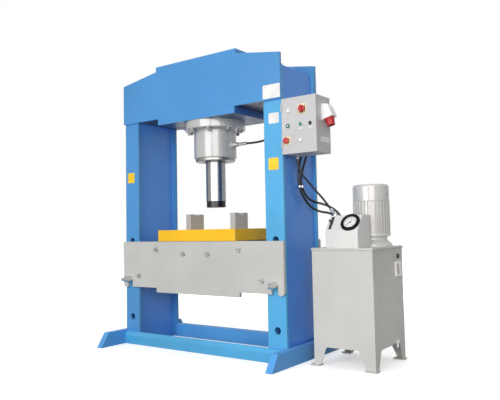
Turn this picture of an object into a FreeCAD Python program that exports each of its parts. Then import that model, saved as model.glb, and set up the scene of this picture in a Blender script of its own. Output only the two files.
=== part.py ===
# Hydraulic H-frame press with its control box and power unit, one STEP file per piece.
# Millimetres, +Z up, +X to the operator's right, the operator stands on the -Y side.
# Every piece is drawn about the press's own centre line and moved by PRESS_X when it is written.
import FreeCAD, Part
import math
import os

from FreeCAD import Placement
from FreeCAD import Rotation
from FreeCAD import Vector

# ---- where the press stands on the row: the origin is the middle of the footprint -------------
PRESS_X = -259.0

# ---- frame ------------------------------------------------------------------------------------
HEIGHT = 2050.0            # floor to the top of the cap plate
HALF_DEPTH = 210.0         # uprights: front face at -HALF_DEPTH, rear face at +HALF_DEPTH
UPRIGHT_OUTER = 722.0
UPRIGHT_WIDTH = 140.0
UPRIGHT_INNER = UPRIGHT_OUTER - UPRIGHT_WIDTH
UPRIGHT_TOP = 1887.0
UPRIGHT_PLATE = 20.0
WEB = 12.0
WEB_OUTER_FACE = 707.0
WEB_INNER_FACE = 617.0

CROWN_HALF = 725.0
CROWN_PLATE = 17.0
CROWN_SHOULDER_HALF = 373.0
CROWN_SEAT_HALF = 355.0
CROWN_LOW = 1614.0
CROWN_END_LOW = 1660.0
CROWN_END_TOP = 1957.0
CROWN_SHOULDER_TOP = 2014.0

FOOT_WIDTH = 48.0
FOOT_HEIGHT = 100.0
FOOT_HALF = 453.0
FOOT_TOP_HALF = 385.0
FRONT_BAR_THICK = 16.0
FRONT_BAR_FACE = 62.0
FRONT_BAR_HEIGHT = 92.0
REAR_BAR_THICK = 20.0
REAR_BAR_HEIGHT = 97.0

# ---- support pins and their holes -------------------------------------------------------------
PIN_X = 654.0
PIN_PITCH = 283.0
PIN_Z = 485.0
PIN_RADIUS = 23.0
PIN_HOLE_RADIUS = 23.5
PIN_NOSE = 48.0
PIN_FRONT = 324.0
PIN_COLLAR_FACE = 236.0

# ---- table ------------------------------------------------------------------------------------
TABLE_HALF = 725.0
TABLE_TOP = 762.0
TABLE_PLATE = 22.0
TABLE_GAP = 1.0            # the plates run this far off the uprights' faces
TABLE_LOW = 396.0
TABLE_END_LOW = 428.0
TABLE_STEP = 378.0
EAR_LOW = 420.0
NOTCH_RADIUS = 23.5
TABLE_BOLTS = ((377.0, 704.0), (111.0, 675.0), (556.0, 510.0))
PLATEN_HALF = 352.0
PLATEN_HALF_DEPTH = 240.0
PLATEN_TOP = 843.0
V_BLOCK_X = 206.0
V_BLOCK_WIDTH = 46.0
V_BLOCK_HALF_DEPTH = 72.0
V_BLOCK_TOP = 955.0

# ---- cylinder and ram -------------------------------------------------------------------------
BARREL_RADIUS = 154.0
BORE_RADIUS = 120.0
BARREL_LOW = 1351.0
BARREL_TOP = 1990.0
CAP_THICK = 45.0
FLANGE_RADIUS = 222.0
FLANGE_LOW = 1557.0
FLANGE_BOLT_CIRCLE = 188.0
FLANGE_BOLT_COUNT = 8
FLANGE_BOLT_FIRST = -65.0
GLAND_LOW = 1331.0
GLAND_TOP = 1430.0
ROD_RADIUS = 71.0
ROD_LOW = 1000.0
NOSE_TOP = 1044.0
PISTON_LOW = 1575.0
PISTON_TOP = 1675.0
RUNNING_FIT = 0.05
PORT_Z = 1440.0
CAP_PORT_Y = 60.0
CAP_PORT_Z = 1925.0

# ---- control box ------------------------------------------------------------------------------
BOX_LEFT = 724.0
BOX_WIDTH = 250.0
BOX_RIGHT = BOX_LEFT + BOX_WIDTH
BOX_FRONT = -221.0
BOX_SEAM = -196.0
BOX_REAR = -45.0
BOX_LOW = 1299.0
BOX_TOP = 1652.0
BOX_SHEET = 2.5
HINGE_X = 727.0
HINGE_Y = -226.0
LAMP = (776.0, 1569.0)
MAIN_SWITCH = (877.0, 1571.0)
START_BUTTON = (775.0, 1475.0)
SELECTOR = (866.0, 1477.0)
KEY_LOCK = (934.0, 1476.0)
EMERGENCY_STOP = (766.0, 1382.0)
STOP_BUTTON = (863.0, 1378.0)
CONTROL_HOLE = 11.5
INLET_Y = -120.0
INLET_HALF_WIDTH = 32.0
INLET_LOW = 1501.0
INLET_TOP = 1597.0
INLET_TOP_RUN = 40.0
INLET_RUN = 74.0           # the hood's underside climbs INLET_RISE over this distance
INLET_RISE = 19.0

# ---- power unit -------------------------------------------------------------------------------
TANK_LEFT = 861.0
TANK_RIGHT = 1266.0
TANK_FRONT = -120.0
TANK_REAR = 326.0
TANK_TOP = 701.0
TANK_FLOOR = 125.0
TANK_SHEET = 5.0
SKIRT_LOW = 115.0
LEG_WIDTHS = (42.0, 84.0)  # at the floor and at the skirt
RIGHT_LEG_WIDTHS = (50.0, 108.0)
LID_THICK = 12.0
LID_LIP = 6.0
LID_TOP = TANK_TOP + LID_THICK
PAD_THICK = 8.0
PAD_HALF = 30.0
PAD_SPANS_X = ((841.0, 901.0), (1204.0, 1278.0))
PAD_Y = (-110.0, 298.0)
HOUSING_LEFT = 951.0
HOUSING_RIGHT = 1168.0
HOUSING_FRONT = -102.0
HOUSING_REAR = 76.0
HOUSING_KNEE = 818.0
HOUSING_TOP = 912.0
HOUSING_SLOPE_BACK = -30.0
HOUSING_SHEET = 3.0
GAUGE_X = 1105.0
GAUGE_RADIUS = 53.0
BEZEL_RADIUS = 61.0
DIAL_RADIUS = 42.0
LEVER_X = 976.0
LEVER_PIVOT_DEPTH = 95.0
MOTOR_X = 1119.0
MOTOR_Y = 205.0
MOTOR_FLANGE_RADIUS = 125.0
MOTOR_BODY_LOW = 780.0
MOTOR_BODY_TOP = 1015.0
COWL_RADIUS = 115.0
COWL_TOP = 1106.0
FILLER = (240.0, 652.0)
LEVEL_MIDDLE = (247.0, 571.0)
LEVEL_WINDOW_Y = 234.0
DRAIN = (172.0, 134.0)
DRAIN_STAND = 14.0         # the tap's upright axis stands this far off the tank's side
FIN_COUNT = 32
FIN_RADIUS = 117.0
FIN_ROOT = 103.0

# ---- hoses ------------------------------------------------------------------------------------
HOSE_RADIUS = 7.5
CONDUIT_RADIUS = 7.0
ELBOW_X = 741.0
ELBOW_Z = 1473.0
FEED_Y = 0.0
RETURN_Y = 60.0
BLOCK_X = 932.0
BLOCK_TOP = 785.0
FEED_PORT_Y = 110.0
RETURN_PORT_Y = 175.0

# Routes from fitting to fitting; the first and the last point lie on the fittings' end faces.
CYLINDER_HOSE = (
    (285.0, 0.0, 1440.0), (325.0, 0.5, 1438.5), (372.0, 2.5, 1439.0), (424.0, 4.5, 1444.0),
    (474.0, 3.5, 1453.5), (516.0, 1.2, 1464.0), (552.0, 0.0, 1473.0),
)
FEED_HOSE = (
    (741.0, 0.0, 1385.0), (741.0, -2.0, 1350.0), (741.0, -17.0, 1307.0), (740.5, -38.0, 1262.0),
    (739.5, -52.0, 1214.0), (738.5, -57.0, 1164.0), (738.5, -50.0, 1116.0), (739.5, -28.0, 1070.0),
    (742.0, 6.0, 1030.0), (746.0, 44.0, 997.0), (755.0, 77.0, 971.0), (782.0, 104.0, 951.2),
    (814.0, 118.0, 940.5), (846.0, 121.0, 937.0), (880.0, 116.0, 927.0), (905.0, 112.0, 909.0),
    (923.0, 110.0, 883.0), (932.0, 110.0, 855.0), (932.0, 110.0, 826.0),
)
RETURN_HOSE = (
    (741.0, 60.0, 1385.0), (741.0, 58.0, 1350.0), (741.0, 43.0, 1305.0), (741.0, 15.0, 1258.0),
    (740.5, -10.0, 1212.0), (740.0, -25.0, 1163.0), (740.5, -24.0, 1116.0), (742.0, 0.0, 1074.0),
    (745.0, 33.0, 1043.0), (751.0, 70.0, 1021.0), (766.0, 106.0, 1008.0), (793.0, 131.0, 999.0),
    (826.0, 146.0, 987.0), (858.0, 157.0, 970.0), (887.0, 166.0, 947.0), (910.0, 171.5, 920.0),
    (925.0, 174.5, 889.0), (932.0, 175.0, 857.0), (932.0, 175.0, 826.0),
)
CONDUIT = (
    (750.0, -84.0, 1281.0), (751.0, -83.0, 1251.0), (759.0, -75.0, 1213.0), (772.0, -58.0, 1177.0),
    (788.0, -32.0, 1144.0), (806.0, -6.0, 1110.0), (828.0, 15.0, 1073.0), (858.0, 25.0, 1037.0),
    (894.0, 20.5, 998.0), (935.2, 4.9, 954.2),
)


def box(x0, x1, y0, y1, z0, z1):
    """Block between two opposite corners."""
    return Part.makeBox(x1 - x0, y1 - y0, z1 - z0, Vector(x0, y0, z0))


def rod(radius, start, direction, length):
    """Round bar from start along direction."""
    return Part.makeCylinder(radius, length, Vector(*start), Vector(*direction))


def placed(solid, origin, direction):
    """The solid with its own +Z turned to direction and its own origin moved to origin."""
    turned = solid.copy()
    turned.Placement = Placement(Vector(*origin), Rotation(Vector(0, 0, 1), Vector(*direction)))
    return turned


def hexagon(across_flats, start, direction, length):
    """Hexagonal bar from start along direction."""
    radius = across_flats / math.sqrt(3)
    corners = [Vector(radius * math.cos(math.radians(60 * i)), radius * math.sin(math.radians(60 * i)), 0)
               for i in range(7)]
    return placed(Part.Face(Part.makePolygon(corners)).extrude(Vector(0, 0, length)), start, direction)


def turned(profile, origin=(0, 0, 0), direction=(0, 0, 1)):
    """Solid turned from a closed list of (radius, height) points about direction through origin."""
    points = [Vector(radius, 0, height) for radius, height in profile]
    face = Part.Face(Part.makePolygon(points + points[:1]))
    return placed(face.revolve(Vector(0, 0, 0), Vector(0, 0, 1), 360), origin, direction)


def corner_arc(before, corner, after, radius):
    """Start, middle and end of the arc of that radius which rounds a corner."""
    to_before = (before - corner).normalize()
    to_after = (after - corner).normalize()
    half = to_before.getAngle(to_after) / 2
    setback = radius / math.tan(half)
    inward = (to_before + to_after).normalize()
    middle = corner + inward * (radius / math.sin(half) - radius)
    return corner + to_before * setback, middle, corner + to_after * setback


def outline(corners, to_vector):
    """Closed face from corners of two numbers, or three where the third is a corner radius."""
    points = [to_vector(corner[0], corner[1]) for corner in corners]
    count = len(points)
    stretches = []
    for i, corner in enumerate(corners):
        if len(corner) == 3:
            stretches.append(corner_arc(points[i - 1], points[i], points[(i + 1) % count], corner[2]))
        else:
            stretches.append((points[i],))
    edges = []
    for i, stretch in enumerate(stretches):
        if len(stretch) == 3:
            edges.append(Part.Arc(*stretch).toShape())
        following = stretches[(i + 1) % count][0]
        if (following - stretch[-1]).Length > 1e-6:
            edges.append(Part.makeLine(stretch[-1], following))
    return Part.Face(Part.Wire(edges))


def plate_xz(corners, y0, y1):
    """Plate with its outline in X and Z, between two Y planes."""
    return outline(corners, lambda x, z: Vector(x, y0, z)).extrude(Vector(0, y1 - y0, 0))


def plate_yz(corners, x0, x1):
    """Plate with its outline in Y and Z, between two X planes."""
    return outline(corners, lambda y, z: Vector(x0, y, z)).extrude(Vector(x1 - x0, 0, 0))


def plate_xy(corners, z0, z1):
    """Plate with its outline in X and Y, between two heights."""
    return outline(corners, lambda x, y: Vector(x, y, z0)).extrude(Vector(0, 0, z1 - z0))


def mirrored(solid):
    """The same piece on the other side of the press."""
    return solid.mirror(Vector(0, 0, 0), Vector(1, 0, 0))


def fused(first, *others):
    """One solid from pieces that touch or overlap."""
    return first.fuse(list(others)).removeSplitter()


def swept_path(points, radii):
    """Wire of straight runs joined by tangent arcs of the given radii."""
    nodes = [Vector(*point) for point in points]
    edges = []
    last = nodes[0]
    for i, radius in enumerate(radii, start=1):
        start, middle, end = corner_arc(nodes[i - 1], nodes[i], nodes[i + 1], radius)
        edges.append(Part.LineSegment(last, start).toShape())
        edges.append(Part.Arc(start, middle, end).toShape())
        last = end
    edges.append(Part.LineSegment(last, nodes[-1]).toShape())
    return Part.Wire(edges)


def tube(points, radii, radius):
    """Round bar along a path of straight runs and tangent arcs."""
    path = swept_path(points, radii)
    along = Vector(*points[1]) - Vector(*points[0])
    circle = Part.Wire(Part.makeCircle(radius, Vector(*points[0]), along))
    return path.makePipeShell([circle], True, False), path.Length


def cord(name, points, radius):
    """Flexible line; each bend takes 0.45 of the shorter run beside it."""
    nodes = [Vector(*point) for point in points]
    radii = []
    for before, here, after in zip(nodes, nodes[1:], nodes[2:]):
        turn = math.pi - (before - here).getAngle(after - here)
        shorter = min((here - before).Length, (after - here).Length)
        radii.append(0.45 * shorter / math.tan(turn / 2))
    solid, length = tube(points, radii, radius)
    share = solid.Volume / (math.pi * radius ** 2 * length)
    print(name, "length %.0f, volume share %.4f, radii" % (length, share), [round(r) for r in radii])
    return solid


# ---- frame ------------------------------------------------------------------------------------
def crown_side_plate(y0):
    """Front or rear plate of the crown: deeper in the middle, sloping shoulders."""
    corners = (
        (-CROWN_HALF, CROWN_END_LOW), (-CROWN_SEAT_HALF, CROWN_END_LOW), (-CROWN_SEAT_HALF, CROWN_LOW, 6),
        (CROWN_SEAT_HALF, CROWN_LOW, 6), (CROWN_SEAT_HALF, CROWN_END_LOW), (CROWN_HALF, CROWN_END_LOW),
        (CROWN_HALF, CROWN_END_TOP), (CROWN_SHOULDER_HALF, CROWN_SHOULDER_TOP),
        (-CROWN_SHOULDER_HALF, CROWN_SHOULDER_TOP), (-CROWN_HALF, CROWN_END_TOP),
    )
    return plate_xz(corners, y0, y0 + CROWN_PLATE)


def crown_cap_plate():
    """Plate that closes the raised middle of the crown."""
    reach = HALF_DEPTH + CROWN_PLATE
    plate = box(-CROWN_SHOULDER_HALF, CROWN_SHOULDER_HALF, -reach, reach, CROWN_SHOULDER_TOP, HEIGHT)
    top = [edge for edge in plate.Edges if all(vertex.Z > HEIGHT - 1 for vertex in edge.Vertexes)]
    return plate.makeChamfer(3, top)


def crown_seat_plate():
    """Thick plate that the cylinder hangs from, bored for the barrel and drilled for its bolts."""
    plate = box(-CROWN_SEAT_HALF + 1, CROWN_SEAT_HALF - 1, -HALF_DEPTH, HALF_DEPTH, CROWN_LOW, CROWN_END_LOW)
    plate = plate.cut(rod(BARREL_RADIUS + 1, (0, 0, CROWN_LOW), (0, 0, 1), CROWN_END_LOW - CROWN_LOW))
    return plate.cut([rod(12.5, (x, y, CROWN_LOW), (0, 0, 1), 34) for x, y in flange_bolt_places()])


def crown_inner_plates():
    """Two ribs under the cap plate's ends and two closing plates beside the seat."""
    rib_face = CROWN_SHOULDER_HALF
    rib = box(rib_face - WEB, rib_face, -HALF_DEPTH, HALF_DEPTH, CROWN_END_LOW + WEB, CROWN_SHOULDER_TOP)
    rib = rib.cut(rod(12, (rib_face - WEB, CAP_PORT_Y, CAP_PORT_Z), (1, 0, 0), WEB))
    closer = box(CROWN_SEAT_HALF, UPRIGHT_INNER, -HALF_DEPTH, HALF_DEPTH, CROWN_END_LOW, CROWN_END_LOW + WEB)
    blank_rib = box(-rib_face, WEB - rib_face, -HALF_DEPTH, HALF_DEPTH, CROWN_END_LOW + WEB, CROWN_SHOULDER_TOP)
    return Part.Compound([fused(rib, closer), fused(blank_rib, mirrored(closer))])


def upright_side_plates():
    """Front and rear plate of the right upright, with the three pin holes."""
    plates = []
    for y in (-HALF_DEPTH, HALF_DEPTH - UPRIGHT_PLATE):
        plate = box(UPRIGHT_INNER, UPRIGHT_OUTER, y, y + UPRIGHT_PLATE, 0, UPRIGHT_TOP)
        for step in (-1, 0, 1):
            plate = plate.cut(rod(PIN_HOLE_RADIUS, (PIN_X, y, PIN_Z + step * PIN_PITCH), (0, 1, 0), UPRIGHT_PLATE))
        plates.append(plate)
    return Part.Compound(plates)


def upright_webs(side):
    """Inner and outer web of an upright; the right ones are drilled for the pipes."""
    reach = HALF_DEPTH - UPRIGHT_PLATE
    inner = box(WEB_INNER_FACE, WEB_INNER_FACE + WEB, -reach, reach, 0, UPRIGHT_TOP)
    outer = box(WEB_OUTER_FACE - WEB, WEB_OUTER_FACE, -reach, reach, 0, UPRIGHT_TOP)
    if side < 0:
        return Part.Compound([mirrored(inner), mirrored(outer)])
    inner = inner.cut(rod(10, (WEB_INNER_FACE, FEED_Y, ELBOW_Z), (1, 0, 0), WEB))
    for y in (FEED_Y, RETURN_Y):
        outer = outer.cut(rod(10, (WEB_OUTER_FACE - WEB, y, ELBOW_Z), (1, 0, 0), WEB))
    return Part.Compound([inner, outer])


def feet():
    """Two long feet along the uprights' outer sides, with sloping ends."""
    corners = ((-FOOT_HALF, 0), (FOOT_HALF, 0), (FOOT_TOP_HALF, FOOT_HEIGHT), (-FOOT_TOP_HALF, FOOT_HEIGHT))
    foot = plate_yz(corners, UPRIGHT_OUTER, UPRIGHT_OUTER + FOOT_WIDTH)
    return Part.Compound([foot, mirrored(foot)])


def front_crossbar():
    """Bar across the front at floor level, bevelled back to the uprights' faces."""
    face = -HALF_DEPTH - FRONT_BAR_THICK
    corners = ((-HALF_DEPTH, 0), (-HALF_DEPTH, FRONT_BAR_HEIGHT), (face, FRONT_BAR_FACE, 4), (face, 0, 4))
    return plate_yz(corners, -UPRIGHT_OUTER, UPRIGHT_OUTER)


def rear_crossbar():
    """Channel between the uprights at the back."""
    rear = HALF_DEPTH - 2
    front = rear - REAR_BAR_THICK
    corners = (
        (front, 0, 3), (rear + 40, 0), (rear + 40, 10), (rear, 10), (rear, REAR_BAR_HEIGHT - 10),
        (rear + 40, REAR_BAR_HEIGHT - 10), (rear + 40, REAR_BAR_HEIGHT), (front, REAR_BAR_HEIGHT, 3),
    )
    return plate_yz(corners, -UPRIGHT_INNER, UPRIGHT_INNER)


# ---- cylinder and ram -------------------------------------------------------------------------
def flange_bolt_places():
    """Centres of the bolts round the cylinder flange."""
    angles = [math.radians(FLANGE_BOLT_FIRST + 360 * i / FLANGE_BOLT_COUNT) for i in range(FLANGE_BOLT_COUNT)]
    return [(FLANGE_BOLT_CIRCLE * math.cos(a), FLANGE_BOLT_CIRCLE * math.sin(a)) for a in angles]


def cylinder_barrel():
    """Barrel with its flange, closed cap end and two port bosses."""
    profile = (
        (BORE_RADIUS, BARREL_LOW), (BARREL_RADIUS - 5, BARREL_LOW), (BARREL_RADIUS, BARREL_LOW + 5),
        (BARREL_RADIUS, FLANGE_LOW - 8), (BARREL_RADIUS + 8, FLANGE_LOW), (FLANGE_RADIUS - 4, FLANGE_LOW),
        (FLANGE_RADIUS, FLANGE_LOW + 4), (FLANGE_RADIUS, CROWN_LOW), (BARREL_RADIUS, CROWN_LOW),
        (BARREL_RADIUS, BARREL_TOP - 6), (BARREL_RADIUS - 6, BARREL_TOP), (0, BARREL_TOP),
        (0, BARREL_TOP - CAP_THICK), (BORE_RADIUS, BARREL_TOP - CAP_THICK),
    )
    barrel = turned(profile)
    barrel = barrel.cut([rod(12.5, (x, y, FLANGE_LOW), (0, 0, 1), 60) for x, y in flange_bolt_places()])
    for y, z in ((0, PORT_Z), (CAP_PORT_Y, CAP_PORT_Z)):
        boss = rod(23, (BORE_RADIUS + 10, y, z), (1, 0, 0), 172 - BORE_RADIUS - 10)
        bore = rod(9.5, (BORE_RADIUS - 20, y, z), (1, 0, 0), 172 - BORE_RADIUS + 20)
        barrel = fused(barrel, boss).cut(bore)
    return barrel


def cylinder_gland():
    """Gland that closes the barrel's lower end and guides the rod."""
    bore = ROD_RADIUS + RUNNING_FIT
    profile = (
        (bore + 4, GLAND_LOW), (140, GLAND_LOW), (144, GLAND_LOW + 4), (144, GLAND_LOW + 13),
        (138, GLAND_LOW + 15), (138, BARREL_LOW), (BORE_RADIUS, BARREL_LOW), (BORE_RADIUS, GLAND_TOP),
        (bore, GLAND_TOP), (bore, GLAND_LOW + 4),
    )
    return turned(profile)


def flange_bolts():
    """Hexagon bolts with washers that hang the cylinder from the crown."""
    bolts = []
    for x, y in flange_bolt_places():
        washer = rod(22, (x, y, FLANGE_LOW - 4), (0, 0, 1), 4)
        head = hexagon(36, (x, y, FLANGE_LOW - 19), (0, 0, 1), 15)
        bolts.append(fused(head, washer, rod(12, (x, y, FLANGE_LOW), (0, 0, 1), 88)))
    return Part.Compound(bolts)


def piston():
    """Piston with three seal grooves."""
    radius = BORE_RADIUS - RUNNING_FIT
    profile = [(0, PISTON_LOW), (radius - 4, PISTON_LOW), (radius, PISTON_LOW + 4)]
    for centre in (PISTON_LOW + 25, PISTON_LOW + 50, PISTON_LOW + 75):
        profile += [(radius, centre - 5), (radius - 8, centre - 5), (radius - 8, centre + 5), (radius, centre + 5)]
    profile += [(radius, PISTON_TOP - 4), (radius - 4, PISTON_TOP), (0, PISTON_TOP)]
    return turned(profile)


def ram_rod():
    """Plated rod from the piston down to the nose."""
    return rod(ROD_RADIUS, (0, 0, NOSE_TOP), (0, 0, 1), PISTON_LOW - NOSE_TOP)


def ram_nose():
    """Hardened nose with two turned grooves, on the rod's end."""
    profile = [(0, ROD_LOW), (ROD_RADIUS - 5, ROD_LOW), (ROD_RADIUS - 1, ROD_LOW + 4)]
    for low in (ROD_LOW + 13, ROD_LOW + 29):
        profile += [(ROD_RADIUS - 1, low), (ROD_RADIUS - 5, low + 1), (ROD_RADIUS - 5, low + 5),
                    (ROD_RADIUS - 1, low + 6)]
    profile += [(ROD_RADIUS - 1, NOSE_TOP - 3), (ROD_RADIUS - 4, NOSE_TOP), (0, NOSE_TOP)]
    return turned(profile)


# ---- table ------------------------------------------------------------------------------------
def table_side_plate(y0):
    """Front or rear plate of the table: deeper in the middle, notched ears over the pins."""
    right = (
        (TABLE_STEP, TABLE_LOW, 8), (TABLE_STEP, TABLE_END_LOW), (PIN_X - NOTCH_RADIUS, TABLE_END_LOW, 5),
        (PIN_X - NOTCH_RADIUS, PIN_Z + NOTCH_RADIUS, NOTCH_RADIUS - 0.1),
        (PIN_X + NOTCH_RADIUS, PIN_Z + NOTCH_RADIUS, NOTCH_RADIUS - 0.1),
        (PIN_X + NOTCH_RADIUS, EAR_LOW, 19), (TABLE_HALF, EAR_LOW, 26), (TABLE_HALF, TABLE_TOP, 10),
    )
    left = [(-corner[0],) + tuple(corner[1:]) for corner in reversed(right)]
    plate = plate_xz(right + tuple(left), y0, y0 + TABLE_PLATE)
    for x, z in TABLE_BOLTS:
        for side in (-1, 1):
            plate = plate.cut(rod(10.5, (side * x, y0, z), (0, 1, 0), TABLE_PLATE))
    return plate


def table_spacers():
    """Tubes that hold the two table plates apart."""
    reach = HALF_DEPTH + TABLE_GAP
    tubes = []
    for x, z in TABLE_BOLTS:
        for side in (-1, 1):
            outer = rod(20, (side * x, -reach, z), (0, 1, 0), 2 * reach)
            tubes.append(outer.cut(rod(10.5, (side * x, -reach, z), (0, 1, 0), 2 * reach)))
    return Part.Compound(tubes)


def table_bolts():
    """Socket-head tie bolts with a washer in front and a washer and nut behind."""
    face = HALF_DEPTH + TABLE_GAP + TABLE_PLATE
    bolts = []
    for x, z in TABLE_BOLTS:
        for side in (-1, 1):
            at = side * x
            head = rod(14, (at, -face - 17, z), (0, 1, 0), 14)
            head = head.cut(hexagon(14, (at, -face - 17, z), (0, 1, 0), 8))
            washer = rod(18, (at, -face - 3, z), (0, 1, 0), 3)
            shank = rod(10, (at, -face, z), (0, 1, 0), 2 * face + 24)
            nut = hexagon(30, (at, face + 3, z), (0, 1, 0), 16)
            rear_washer = rod(18, (at, face, z), (0, 1, 0), 3)
            bolts.append(fused(head, washer, shank, nut, rear_washer))
    return Part.Compound(bolts)


def platen():
    """Loose plate on the table, with bevelled edges."""
    plate = box(-PLATEN_HALF, PLATEN_HALF, -PLATEN_HALF_DEPTH, PLATEN_HALF_DEPTH, TABLE_TOP, PLATEN_TOP)
    return plate.makeChamfer(3, plate.Edges)


def v_blocks():
    """Two blocks with a shallow V across the top, standing on the platen."""
    reach = V_BLOCK_HALF_DEPTH
    corners = (
        (-reach, PLATEN_TOP), (reach, PLATEN_TOP), (reach, V_BLOCK_TOP, 3), (30, V_BLOCK_TOP),
        (4, V_BLOCK_TOP - 26), (-4, V_BLOCK_TOP - 26), (-30, V_BLOCK_TOP), (-reach, V_BLOCK_TOP, 3),
    )
    left = V_BLOCK_X - V_BLOCK_WIDTH / 2
    block = plate_yz(corners, left, left + V_BLOCK_WIDTH)
    return Part.Compound([block, mirrored(block)])


def support_pin(side):
    """Pin under the table: pointed in front, with a collar and a pull bar behind."""
    collar = PIN_COLLAR_FACE
    front = -PIN_FRONT
    profile = (
        (0, front), (7, front), (PIN_RADIUS - 2, front + PIN_NOSE - 6), (PIN_RADIUS, front + PIN_NOSE),
        (PIN_RADIUS, collar), (34, collar), (36, collar + 2), (36, collar + 12), (34, collar + 14),
        (14, collar + 14), (14, collar + 44), (12, collar + 46), (0, collar + 46),
    )
    pin = turned(profile, (side * PIN_X, 0, PIN_Z), (0, 1, 0))
    return fused(pin, rod(7, (side * PIN_X - 60, collar + 30, PIN_Z), (1, 0, 0), 120))


# ---- control box ------------------------------------------------------------------------------
def control_box():
    """Folded steel case, open in front, with stand-offs to the upright and fixed hinge knuckles."""
    corners = ((BOX_LEFT, BOX_LOW, 4), (BOX_RIGHT, BOX_LOW, 4), (BOX_RIGHT, BOX_TOP, 4), (BOX_LEFT, BOX_TOP, 4))
    sheet = BOX_SHEET
    inner = ((BOX_LEFT + sheet, BOX_LOW + sheet), (BOX_RIGHT - sheet, BOX_LOW + sheet),
             (BOX_RIGHT - sheet, BOX_TOP - sheet), (BOX_LEFT + sheet, BOX_TOP - sheet))
    case = plate_xz(corners, BOX_SEAM + 1, BOX_REAR)
    case = case.cut(plate_xz(inner, BOX_SEAM + 1, BOX_REAR - sheet))
    case = case.cut(rod(7, (CONDUIT[0][0], CONDUIT[0][1], BOX_LOW), (0, 0, 1), sheet))
    for z in (BOX_LOW + 60, BOX_TOP - 60):
        case = fused(case, box(WEB_OUTER_FACE, BOX_LEFT, -150, -90, z - 20, z + 20))
        leaf = box(BOX_LEFT - 1.6, BOX_LEFT, HINGE_Y, BOX_SEAM + 20, z - 25, z + 25)
        for low in (z - 25, z + 11):
            knuckle = rod(4.4, (HINGE_X, HINGE_Y, low), (0, 0, 1), 14)
            case = fused(case, leaf, knuckle)
        leaf_gap = box(BOX_LEFT - 2, BOX_LEFT + 1, HINGE_Y - 5, HINGE_Y + 5, z - 11, z + 11)
        case = case.cut(leaf_gap)
        case = fused(case, rod(2, (HINGE_X, HINGE_Y, z - 25), (0, 0, 1), 50))
    return case


def control_places():
    """Every round hole in the door."""
    return (LAMP, MAIN_SWITCH, START_BUTTON, SELECTOR, KEY_LOCK, EMERGENCY_STOP, STOP_BUTTON)


def control_door():
    """Door pan with folded edges, drilled for the controls, with its hinge knuckles."""
    left = BOX_LEFT + 0.5
    right = BOX_RIGHT
    sheet = BOX_SHEET
    corners = ((left, BOX_LOW, 5), (right, BOX_LOW, 5), (right, BOX_TOP, 5), (left, BOX_TOP, 5))
    inner = ((left + sheet, BOX_LOW + sheet), (right - sheet, BOX_LOW + sheet),
             (right - sheet, BOX_TOP - sheet), (left + sheet, BOX_TOP - sheet))
    door = plate_xz(corners, BOX_FRONT, BOX_SEAM)
    rim = [edge for edge in door.Edges if all(abs(vertex.Y - BOX_FRONT) < 0.1 for vertex in edge.Vertexes)]
    door = door.makeFillet(2.2, rim)
    door = door.cut(plate_xz(inner, BOX_FRONT + sheet, BOX_SEAM))
    door = door.cut([rod(CONTROL_HOLE, (x, BOX_FRONT, z), (0, 1, 0), sheet) for x, z in control_places()])
    for z in (BOX_LOW + 60, BOX_TOP - 60):
        knuckle = rod(4.4, (HINGE_X, HINGE_Y, z - 10.6), (0, 0, 1), 21.2)
        door = fused(door, knuckle, box(HINGE_X, HINGE_X + 6, HINGE_Y, BOX_FRONT + 1, z - 10.6, z + 10.6))
        door = door.cut(rod(2.1, (HINGE_X, HINGE_Y, z - 10.6), (0, 0, 1), 21.2))
    return door


def mounting_plate():
    """Plate inside the control box with two mounting rails."""
    y = BOX_REAR - BOX_SHEET - 10
    plate = box(BOX_LEFT + 22, BOX_RIGHT - 22, y - 2, y, BOX_LOW + 25, BOX_TOP - 25)
    for x in (BOX_LEFT + 35, BOX_RIGHT - 35):
        for z in (BOX_LOW + 40, BOX_TOP - 40):
            plate = fused(plate, rod(5, (x, y, z), (0, 1, 0), 10))
    for z in (1400.0, 1545.0):
        plate = fused(plate, box(BOX_LEFT + 30, BOX_RIGHT - 30, y - 9, y - 2, z - 17, z + 17))
    return plate


def switchgear():
    """Contactors, overload relay, transformer and terminals on the rails."""
    back = BOX_REAR - BOX_SHEET - 10 - 9
    pieces = []
    for left, z, width, height, depth in (
        (760.0, 1545.0, 45.0, 74.0, 80.0), (810.0, 1545.0, 45.0, 74.0, 80.0), (870.0, 1545.0, 70.0, 80.0, 70.0),
    ):
        lower = box(left, left + width, back - depth, back, z - height / 2, z + height / 2)
        step = box(left, left + width, back - depth, back - depth * 0.7, z + height / 4, z + height / 2)
        other_step = box(left, left + width, back - depth, back - depth * 0.7, z - height / 2, z - height / 4)
        pieces.append(lower.cut([step, other_step]))
    for i in range(12):
        left = 765 + i * 14
        pieces.append(box(left, left + 12.5, back - 42, back, 1378, 1422))
    return Part.Compound(pieces)


def main_switch_plate():
    """Square legend plate behind the main switch."""
    x, z = MAIN_SWITCH
    corners = ((x - 30, z - 30, 4), (x + 30, z - 30, 4), (x + 30, z + 30, 4), (x - 30, z + 30, 4))
    plate = plate_xz(corners, BOX_FRONT - 4, BOX_FRONT)
    return plate.cut(rod(CONTROL_HOLE, (x, BOX_FRONT - 4, z), (0, 1, 0), 4))


def main_switch_knob():
    """Round handle with a grip bar, on its spindle through the door."""
    x, z = MAIN_SWITCH
    disc = turned(((0, 0), (21, 0), (23, 2), (23, 8), (20, 11), (0, 11)), (x, BOX_FRONT - 5, z), (0, -1, 0))
    corners = ((x - 7, z - 21, 4), (x + 7, z - 21, 4), (x + 5.5, z + 21, 3), (x - 5.5, z + 21, 3))
    grip = plate_xz(corners, BOX_FRONT - 27, BOX_FRONT - 12)
    return fused(disc, grip, rod(9, (x, BOX_FRONT - 6, z), (0, 1, 0), 20))


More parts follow.
